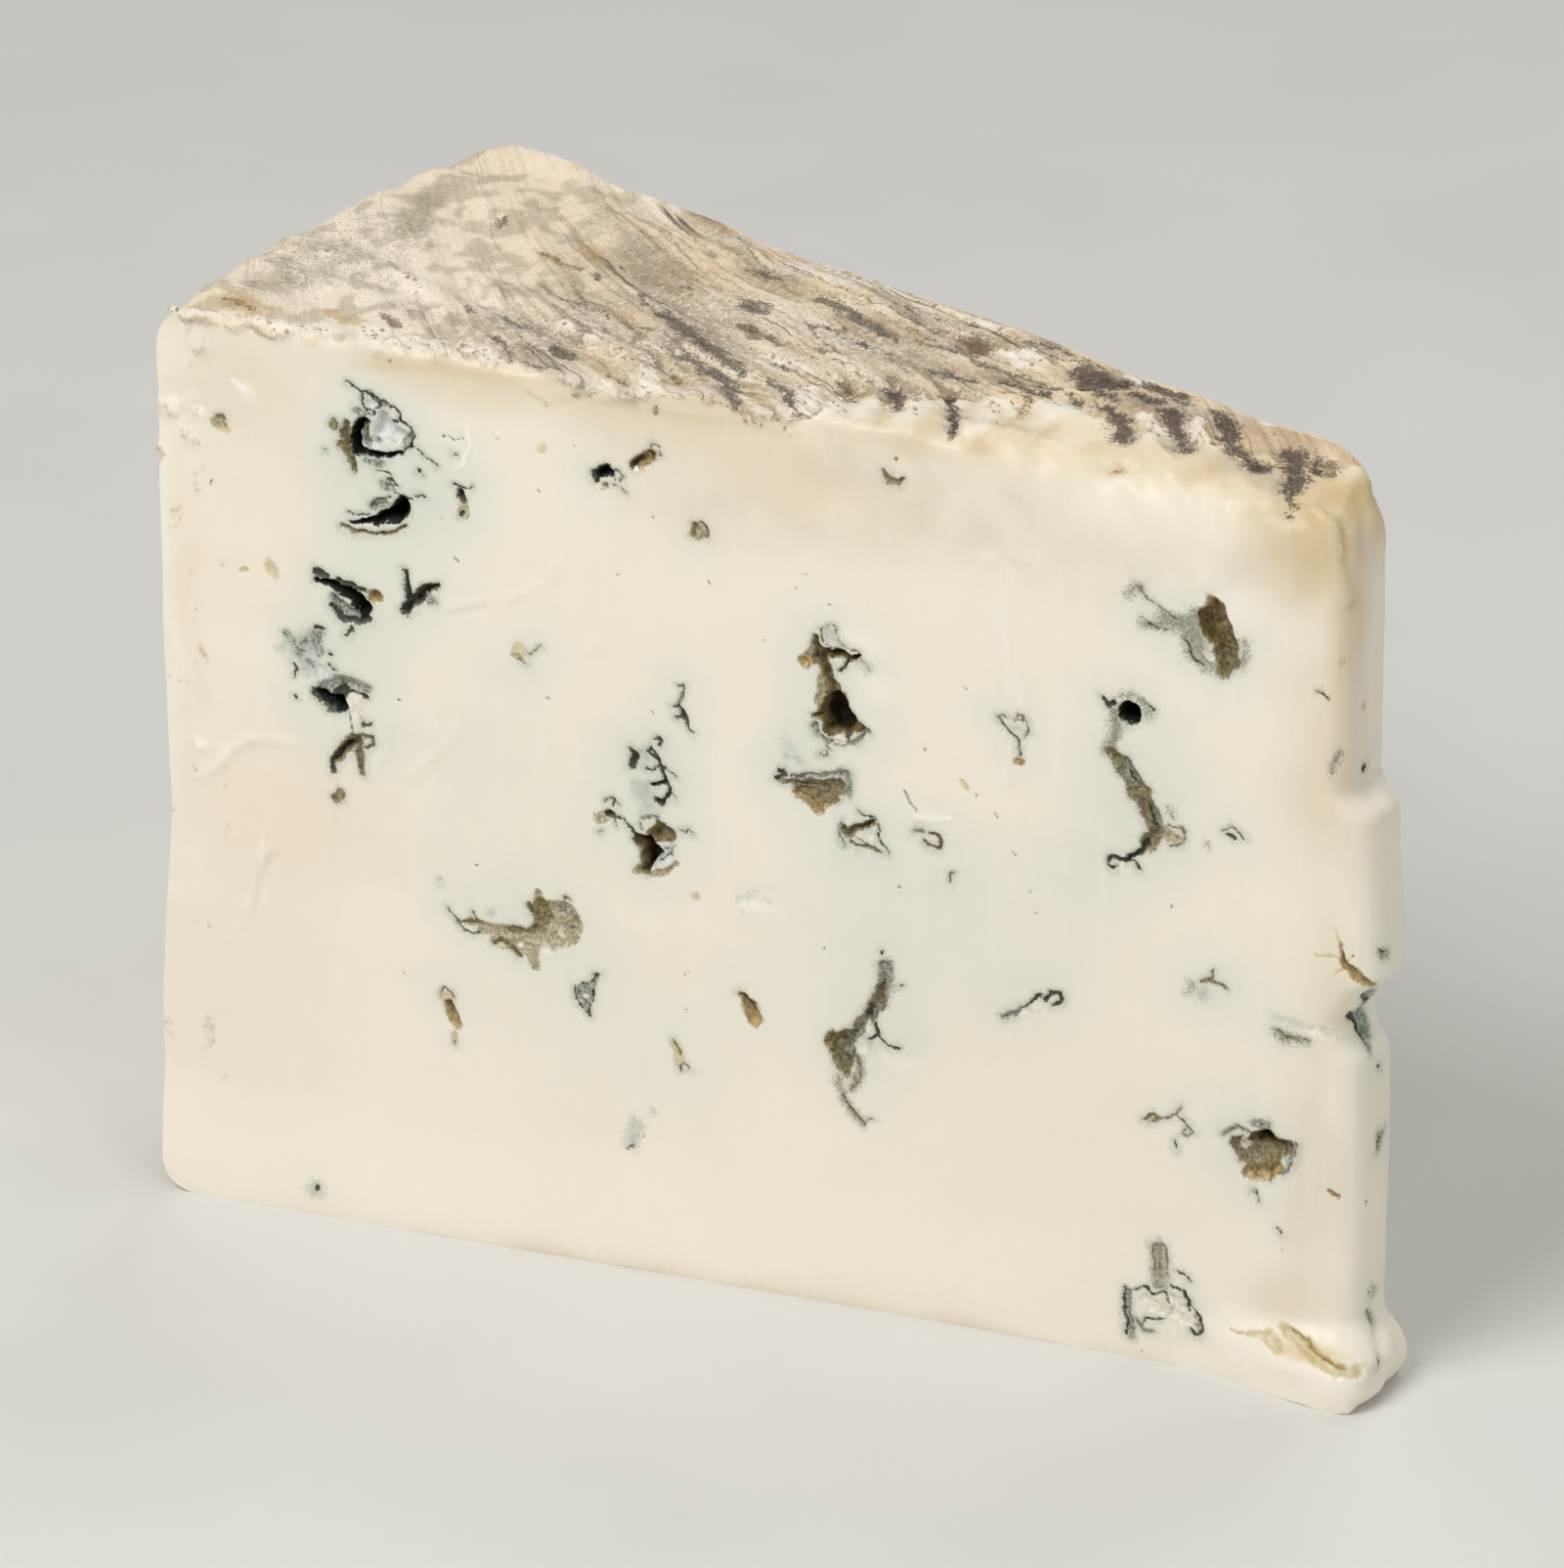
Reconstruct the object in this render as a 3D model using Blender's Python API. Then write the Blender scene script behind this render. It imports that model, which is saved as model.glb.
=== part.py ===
"""Wedge of a natural-rind blue cheese.

The wedge is cut from a tall drum-shaped wheel by two straight cuts that meet near the wheel's
axis, where the point has crumbled away.  It stands on its base rind, with its front cut face to
-Y and its blunt tip to +X.  It is modelled round the wheel's axis, with the front cut in the
plane y = 0, and then set down with its origin under the middle of its bounding box.
Units are metres, +Z up.
"""
import math

import bmesh
import bpy
from mathutils import Vector, noise

MM = 0.001

# The wheel and the wedge cut from it.
WHEEL_RADIUS = 144.5 * MM
WHEEL_HEIGHT = 95.0 * MM
WEDGE_ANGLE = math.radians(23.1)
TIP_RADIUS = 18.5 * MM          # the point broke off this far from the wheel's axis
TIP_LEAN = 2.4 * MM             # the broken tip leans back by this much at the top
TIP_LEAN_START = 0.3            # share of the height at which it begins to lean
TIP_LEAN_END = 0.7              # and at which it has leant back all the way

# Rounded corners of the wheel's section, seen on the cut faces.
RIM_SHOULDER = 4.5 * MM         # top of the rim
RIM_HEEL = 3.5 * MM             # foot of the rim
TIP_SHOULDER = 9.0 * MM         # top of the tip
TIP_HEEL = 2.5 * MM             # foot of the tip
TIP_NOSE = 2.9 * MM             # plan radius of the tip's two upright corners
RIM_BULGE = 1.4 * MM            # the rim swells where the young wheel sagged
RIM_BULGE_HEIGHT = 12.0 * MM
RIM_WAIST = 0.7 * MM            # and draws in a little above that
RIM_WAIST_HEIGHT = 40.0 * MM
RIM_WAIST_HALF = 22.0 * MM
RIM_CREST = 1.1 * MM            # the top rises to a low crest along the rim
RIM_CREST_WIDTH = 28.0 * MM

# A torn flap stands out of the tip, with a notch under it.
FLAP_REACH = 2.6 * MM
FLAP_LOW = 43.5 * MM
FLAP_HIGH = 62.5 * MM
NOTCH_DEPTH = 1.6 * MM
NOTCH_LOW = 36.5 * MM
NOTCH_HIGH = 41.0 * MM
TEAR_RAMP = 1.5 * MM            # half the height over which flap and notch begin

# A lip squeezed forward at the foot of the front face, by the tip.
LIP_REACH = 4.0 * MM            # forward
LIP_SIDE = 2.6 * MM             # and past the tip
LIP_TOP = 5.6 * MM
LIP_FADE = 0.4                  # it fades out over this share of its height, below and above its top
LIP_START = 108.0 * MM          # distance from the rim, along the front cut
LIP_FULL = 123.0 * MM

# The foot of the front face spreads forward towards the rim.
FOOT_REACH = 1.4 * MM
FOOT_HEIGHT = 14.0 * MM
FOOT_END = 85.0 * MM
FOOT_TURN = 0.5                 # share of the way round to the back cut at which it has faded out

# The front top edge is worn round towards the tip.
WORN_START = 76.0 * MM
WORN_FULL = 100.0 * MM
WORN_RADIUS = 7.5 * MM
CUT_EDGE_RADIUS = 0.8 * MM

# Slow unevenness of the rind and of the cut faces.
RIND_WAVE = 0.7 * MM
RIND_WAVE_LENGTH = 17.0 * MM
RIND_START = 0.55               # share of the height at which the top's unevenness begins
CLOTH_RIDGE = 0.3 * MM          # ridges pressed in by the cloth round the young wheel
CLOTH_RIDGE_SPACING = 9.0 * MM
CLOTH_RIDGE_TURN = math.radians(-36.0)
CUT_WAVE = 0.35 * MM
CUT_WAVE_LENGTH = 24.0 * MM
CUT_WAVE_START = 0.25           # share of the height at which the waves have their full depth
CUT_WAVE_TURN = 9.0 * MM        # how far the back cut's waves are from the front cut's

# Mesh fineness.  Rows and columns lie closer together towards the section's edges.
SECTION_COLUMNS = 36
SECTION_ROWS = 28
SPIN_STEPS = 12
COLUMN_CROWDING = 0.5
ROW_CROWDING = 0.3

# Open mould pockets in the front cut.  Each is a chain of points, given in millimetres as
# distance from the rim, height over the base and radius, and has a depth over its radius.
POCKETS = (
    (1.3, (20.6, 85.0, 2.6), (23.2, 88.4, 2.1), (26.2, 86.6, 1.7)),
    (1.6, (20.6, 76.0, 0.8), (24.4, 77.2, 1.4), (26.4, 79.4, 1.3)),
    (1.6, (17.2, 69.8, 0.9), (19.6, 68.8, 1.1), (21.6, 66.9, 1.6)),
    (1.1, (26.4, 71.6, 0.7), (27.2, 69.2, 1.0), (29.6, 71.0, 0.7)),
    (1.2, (17.4, 57.6, 1.6), (21.2, 57.4, 1.6)),
    (0.8, (20.2, 53.0, 1.5), (20.8, 51.2, 1.6)),
    (1.0, (46.9, 85.6, 0.9), (48.6, 85.4, 1.1)),
    (1.2, (52.8, 57.6, 0.7), (53.8, 54.2, 0.6), (52.8, 51.6, 0.7)),
    (1.5, (51.6, 44.6, 0.9), (52.0, 47.4, 1.9), (54.0, 49.0, 1.3)),
    (1.4, (72.6, 62.8, 2.2), (71.4, 67.0, 1.3), (70.4, 70.8, 1.2), (73.2, 70.8, 0.8)),
    (0.9, (67.0, 56.4, 0.9), (70.0, 55.2, 1.5), (72.2, 56.8, 1.2)),
    (0.8, (73.6, 51.8, 1.4), (75.8, 51.4, 1.4)),
    (0.6, (32.4, 35.0, 0.8), (38.0, 34.4, 1.6), (42.4, 37.2, 2.5)),
    (1.0, (72.8, 28.2, 1.6), (74.8, 32.8, 1.0), (76.4, 37.2, 1.1)),
    (1.0, (109.2, 80.4, 1.6), (110.6, 77.2, 2.2)),
    (0.8, (100.8, 64.4, 0.9), (103.0, 60.8, 1.1), (104.4, 57.6, 0.9), (101.6, 54.0, 0.7)),
    (4.0, (101.4, 68.6, 1.2), (101.8, 68.9, 1.2)),
    (0.8, (113.6, 26.0, 1.5), (116.8, 25.4, 2.4)),
    (0.6, (103.0, 4.4, 1.2), (105.4, 6.4, 1.4), (109.2, 5.6, 1.4)),
)
POCKET_ROUGHNESS = 0.45         # unevenness of a pocket's wall, over its radius
POCKET_GRAIN = 1.6 * MM
POCKET_SUBDIVISIONS = 2

# Finish.
SHARP_ANGLE = math.radians(40.0)
PASTE_COLOUR = (0.831, 0.761, 0.623, 1.0)
PASTE_ROUGHNESS = 0.5


def smooth(low, high, value):
    """Ease from 0 at low to 1 at high."""
    t = min(max((value - low) / (high - low), 0.0), 1.0)
    return t * t * (3.0 - 2.0 * t)


def bell(centre, half, value):
    """Ease from 1 at the centre to 0 a half width away."""
    return 1.0 - smooth(0.0, half, abs(value - centre))


def band(low, high, ramp, value):
    """1 between low and high, easing to 0 over a ramp on each side of both."""
    return smooth(low - ramp, low + ramp, value) - smooth(high - ramp, high + ramp, value)


def crowd(share, strength):
    """Space evenly spread shares of a length closer together at both its ends."""
    return share - strength * math.sin(math.tau * share) / math.tau


def rim_at(z):
    """Radius of the rim at a height."""
    bulge = RIM_BULGE * bell(RIM_BULGE_HEIGHT, WHEEL_HEIGHT / 2, z)
    waist = RIM_WAIST * bell(RIM_WAIST_HEIGHT, RIM_WAIST_HALF, z)
    return WHEEL_RADIUS + bulge - waist


def tip_at(z):
    """Radius at which the broken tip ends at a height."""
    lean = TIP_LEAN * smooth(TIP_LEAN_START, TIP_LEAN_END, z / WHEEL_HEIGHT)
    flap = FLAP_REACH * band(FLAP_LOW, FLAP_HIGH, TEAR_RAMP, z)
    notch = NOTCH_DEPTH * band(NOTCH_LOW, NOTCH_HIGH, TEAR_RAMP, z)
    return TIP_RADIUS + lean - flap + notch


def round_corner(across, up, radius):
    """Pull a square corner, whose arc is centred at 0, 0, on to the arc."""
    if across <= 0.0 or up <= 0.0:
        return across, up
    reach = max(across, up)
    scale = 1.0 + (reach / math.hypot(across, up) - 1.0) * min(reach / radius, 1.0)
    return across * scale, up * scale


def section_point(u, w):
    """Radius and height of a point of the section: u runs tip to rim, w base to top."""
    z = w * WHEEL_HEIGHT
    inner, outer = tip_at(z), rim_at(z)
    radius = inner + u * (outer - inner)
    corners = (
        (outer, 1, WHEEL_HEIGHT, 1, RIM_SHOULDER),
        (outer, 1, 0.0, -1, RIM_HEEL),
        (inner, -1, WHEEL_HEIGHT, 1, TIP_SHOULDER),
        (inner, -1, 0.0, -1, TIP_HEEL),
    )
    for edge_r, side_r, edge_z, side_z, corner in corners:
        centre_r = edge_r - side_r * corner
        centre_z = edge_z - side_z * corner
        across, up = round_corner((radius - centre_r) * side_r, (z - centre_z) * side_z, corner)
        radius = centre_r + side_r * across
        z = centre_z + side_z * up
    return radius, z


def round_nose(x, y, z):
    """Round the two upright corners of the tip, in plan."""
    end = -tip_at(z)
    centre_x = end - TIP_NOSE
    along, out = round_corner(x - centre_x, TIP_NOSE - y, TIP_NOSE)
    x, y = centre_x + along, TIP_NOSE - out
    back = Vector((math.sin(WEDGE_ANGLE), math.cos(WEDGE_ANGLE)))
    beyond = x * back.x + y * back.y + TIP_NOSE
    along, out = round_corner(x - centre_x, beyond, TIP_NOSE)
    x = centre_x + along
    y += (out - beyond) * back.y
    return x, y


def rind_relief(x, y):
    """Height of the top rind over its mean level."""
    along = x * math.cos(CLOTH_RIDGE_TURN) + y * math.sin(CLOTH_RIDGE_TURN)
    across = y * math.cos(CLOTH_RIDGE_TURN) - x * math.sin(CLOTH_RIDGE_TURN)
    sway = noise.noise(Vector((along, across, 0.0)) / RIND_WAVE_LENGTH)
    ridge = math.sin(math.tau * (across / CLOTH_RIDGE_SPACING + sway))
    wave = noise.noise(Vector((x, y, 0.0)) / RIND_WAVE_LENGTH)
    return RIND_WAVE * wave + CLOTH_RIDGE * ridge


def settle(point):
    """Move a point of the plain wedge to its place on the worn, uneven one."""
    x, y = round_nose(*point)
    z = point.z
    from_rim = WHEEL_RADIUS - math.hypot(x, y)
    turn = min(max(math.atan2(y, -x) / WEDGE_ANGLE, 0.0), 1.0)
    # The worn front top edge.
    worn = smooth(WORN_START, WORN_FULL, from_rim)
    radius = CUT_EDGE_RADIUS + worn * (WORN_RADIUS - CUT_EDGE_RADIUS)
    inward, up = round_corner(radius - y, z - (WHEEL_HEIGHT - radius), radius)
    y = radius - inward
    z = WHEEL_HEIGHT - radius + up
    # The lip at the foot of the front face.
    lip = smooth(LIP_START, LIP_FULL, from_rim) * (1.0 - smooth(1.0 - LIP_FADE, 1.0 + LIP_FADE, z / LIP_TOP))
    y -= LIP_REACH * lip * (1.0 - smooth(0.0, 1.0, turn))
    x += LIP_SIDE * lip
    # The foot that spreads towards the rim.
    foot = (1.0 - smooth(0.0, FOOT_HEIGHT, z)) * (1.0 - smooth(0.0, FOOT_END, from_rim))
    y -= FOOT_REACH * foot * (1.0 - smooth(0.0, FOOT_TURN, turn))
    # Uneven cuts, straight at the very base.
    lift = smooth(0.0, CUT_WAVE_START, z / WHEEL_HEIGHT)
    wave = CUT_WAVE * lift * noise.noise(Vector((x, z, CUT_WAVE_TURN * turn)) / CUT_WAVE_LENGTH)
    y += wave * abs(1.0 - 2.0 * turn)
    # The top rind, fading out down into the body.
    crest = RIM_CREST * (1.0 - smooth(0.0, RIM_CREST_WIDTH, from_rim))
    z += (crest + rind_relief(x, y)) * smooth(RIND_START, 1.0, z / WHEEL_HEIGHT)
    return Vector((x, y, z))


def new_object(name, bm, collection):
    """Turn a bmesh into an object of the collection."""
    mesh = bpy.data.meshes.new(name)
    bm.to_mesh(mesh)
    bm.free()
    piece = bpy.data.objects.new(name, mesh)
    collection.objects.link(piece)
    return piece


def make_wedge(collection):
    """Spin the gridded section through the wedge angle and settle its surface."""
    bm = bmesh.new()
    bmesh.ops.create_grid(bm, x_segments=SECTION_COLUMNS, y_segments=SECTION_ROWS, size=0.5)
    for vert in bm.verts:
        u = crowd(vert.co.x + 0.5, COLUMN_CROWDING)
        w = crowd(vert.co.y + 0.5, ROW_CROWDING)
        radius, z = section_point(u, w)
        vert.co = Vector((-radius, 0.0, z))
    bmesh.ops.spin(bm, geom=bm.faces[:], cent=(0, 0, 0), axis=(0, 0, 1),
                   angle=-WEDGE_ANGLE, steps=SPIN_STEPS)
    for vert in bm.verts:
        vert.co = settle(vert.co)
    bmesh.ops.recalc_face_normals(bm, faces=bm.faces)
    return new_object("cheese_wedge", bm, collection)


def make_link(name, start, end, depth, collection):
    """A rough tapered capsule across the front cut, from one point of a pocket to the next."""
    bm = bmesh.new()
    bmesh.ops.create_icosphere(bm, subdivisions=POCKET_SUBDIVISIONS, radius=1.0)
    run = Vector((end[0] - start[0], 0.0, end[1] - start[1]))
    for vert in bm.verts:
        out = vert.co.normalized()
        a, z, radius = start if out.dot(run) < 0.0 else end
        place = Vector((a + out.x * radius, out.y * radius * depth, z + out.z * radius)) * MM
        radius *= 1.0 + POCKET_ROUGHNESS * noise.noise(place / POCKET_GRAIN)
        vert.co = Vector((a + out.x * radius, out.y * radius * depth, z + out.z * radius)) * MM
        vert.co.x -= WHEEL_RADIUS
    bmesh.ops.recalc_face_normals(bm, faces=bm.faces)
    cutter = new_object(name, bm, collection)
    cutter.hide_render = True
    cutter.display_type = 'WIRE'
    return cutter


def make_pockets(collection):
    """Every pocket's links, to be cut out of the wedge together."""
    cutters = []
    for index, (depth, *chain) in enumerate(POCKETS):
        for link, (start, end) in enumerate(zip(chain, chain[1:])):
            name = "pocket_%02d_%d" % (index, link)
            cutters.append(make_link(name, start, end, depth, collection))
    return cutters


def stand(piece, cutters):
    """Move everything so that the wedge stands on its origin, under its middle."""
    points = [vert.co for vert in piece.data.vertices]
    low = Vector(min(p[axis] for p in points) for axis in range(3))
    high = Vector(max(p[axis] for p in points) for axis in range(3))
    shift = Vector((-(low.x + high.x) / 2, -(low.y + high.y) / 2, -low.z))
    for thing in [piece] + cutters:
        for vert in thing.data.vertices:
            vert.co += shift


def cheese_material():
    """Ivory blue-cheese paste, as the solid's plain colour."""
    material = bpy.data.materials.new("ivory_paste")
    material.use_nodes = True
    shader = material.node_tree.nodes["Principled BSDF"]
    shader.inputs["Base Color"].default_value = PASTE_COLOUR
    shader.inputs["Roughness"].default_value = PASTE_ROUGHNESS
    shader.inputs["Metallic"].default_value = 0.0
    return material


def main():
    """Build the wedge and cut its pockets."""
    for thing in list(bpy.data.objects):
        bpy.data.objects.remove(thing, do_unlink=True)
    parts = bpy.data.collections.new("cheese_wedge")
    tools = bpy.data.collections.new("pocket_cutters")
    bpy.context.scene.collection.children.link(parts)
    bpy.context.scene.collection.children.link(tools)
    wedge = make_wedge(parts)
    wedge.data.materials.append(cheese_material())
    stand(wedge, make_pockets(tools))
    cut = wedge.modifiers.new("mould_pockets", 'BOOLEAN')
    cut.operation = 'DIFFERENCE'
    cut.solver = 'EXACT'
    cut.operand_type = 'COLLECTION'
    cut.collection = tools
    cut.use_self = True
    wedge.data.shade_smooth()
    wedge.data.set_sharp_from_angle(angle=SHARP_ANGLE)


main()
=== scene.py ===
"""Finished look of a wedge of natural-rind blue cheese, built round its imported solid.

The cheese is one closed skin: two cut faces of ivory paste, with open mould pockets in them, and a
wrinkled natural rind over the top, the rim and the base.  Curds in the pockets, grains of mould
and crumbs of rind are scattered on it.  Shapes are worked out in millimetres round the wheel's
axis, with the front cut in the plane y = 0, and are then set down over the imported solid.
"""

import math

import bpy
import numpy as np
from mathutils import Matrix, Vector, noise


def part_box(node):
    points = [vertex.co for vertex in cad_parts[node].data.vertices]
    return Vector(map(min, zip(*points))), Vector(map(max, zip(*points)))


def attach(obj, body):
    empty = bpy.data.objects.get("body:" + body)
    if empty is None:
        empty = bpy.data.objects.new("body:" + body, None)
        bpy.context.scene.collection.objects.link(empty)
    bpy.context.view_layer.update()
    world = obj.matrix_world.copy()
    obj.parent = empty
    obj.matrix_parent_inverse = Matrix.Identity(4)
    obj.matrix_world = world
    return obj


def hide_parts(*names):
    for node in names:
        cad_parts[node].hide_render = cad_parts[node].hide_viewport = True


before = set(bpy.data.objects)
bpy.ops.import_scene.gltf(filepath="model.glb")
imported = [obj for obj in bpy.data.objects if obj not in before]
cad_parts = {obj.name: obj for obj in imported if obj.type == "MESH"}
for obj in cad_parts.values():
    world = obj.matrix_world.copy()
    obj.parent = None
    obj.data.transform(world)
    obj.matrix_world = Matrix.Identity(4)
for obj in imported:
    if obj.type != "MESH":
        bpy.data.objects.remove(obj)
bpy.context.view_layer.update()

MM = 0.001
NODE = "cheese_wedge"

# The wheel and the wedge cut from it, in millimetres, as in the solid.
WHEEL_RADIUS = 144.5
WHEEL_HEIGHT = 95.0
WEDGE_ANGLE = math.radians(23.1)
TIP_RADIUS = 18.5
TIP_LEAN = 2.4
TIP_LEAN_START = 0.3  # shares of the height
TIP_LEAN_FULL = 0.7
RIM_SHOULDER = 4.5
RIM_HEEL = 3.5
TIP_SHOULDER = 9.0
TIP_HEEL = 2.5
TIP_NOSE = 2.9
RIM_BULGE = 1.4
RIM_BULGE_HEIGHT = 12.0
RIM_WAIST = 0.7
RIM_WAIST_HEIGHT = 40.0
RIM_WAIST_HALF = 22.0
RIM_CREST = 1.1
RIM_CREST_WIDTH = 28.0
FLAP_REACH = 2.6
FLAP_LOW = 43.5
FLAP_HIGH = 62.5
NOTCH_DEPTH = 1.6
NOTCH_LOW = 36.5
NOTCH_HIGH = 41.0
TEAR_RAMP = 1.5
LIP_REACH = 4.0
LIP_SIDE = 2.6
LIP_TOP = 5.6
LIP_EASE = (LIP_TOP * 0.6, LIP_TOP * 1.4)
LIP_START = 108.0
LIP_FULL = 123.0
FOOT_REACH = 1.4
FOOT_HEIGHT = 14.0
FOOT_END = 85.0
FOOT_TURN = 0.5  # it ends this share of the way round to the back cut
WORN_START = 76.0
WORN_FULL = 100.0
WORN_RADIUS = 7.5
CUT_EDGE_RADIUS = 0.8
RIND_WAVE = 0.7
RIND_WAVE_LENGTH = 17.0
CLOTH_RIDGE = 0.3
CLOTH_RIDGE_SPACING = 9.0
CLOTH_RIDGE_TURN = math.radians(-36.0)
CUT_WAVE = 0.35
CUT_WAVE_LENGTH = 24.0
CUT_WAVE_LIFT = 0.25  # it is whole from this share of the height
CUT_WAVE_TURN = 9.0  # how far apart the noise of the two cuts is
RELIEF_START = 0.55  # the rind's relief starts at this share of the height

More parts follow.
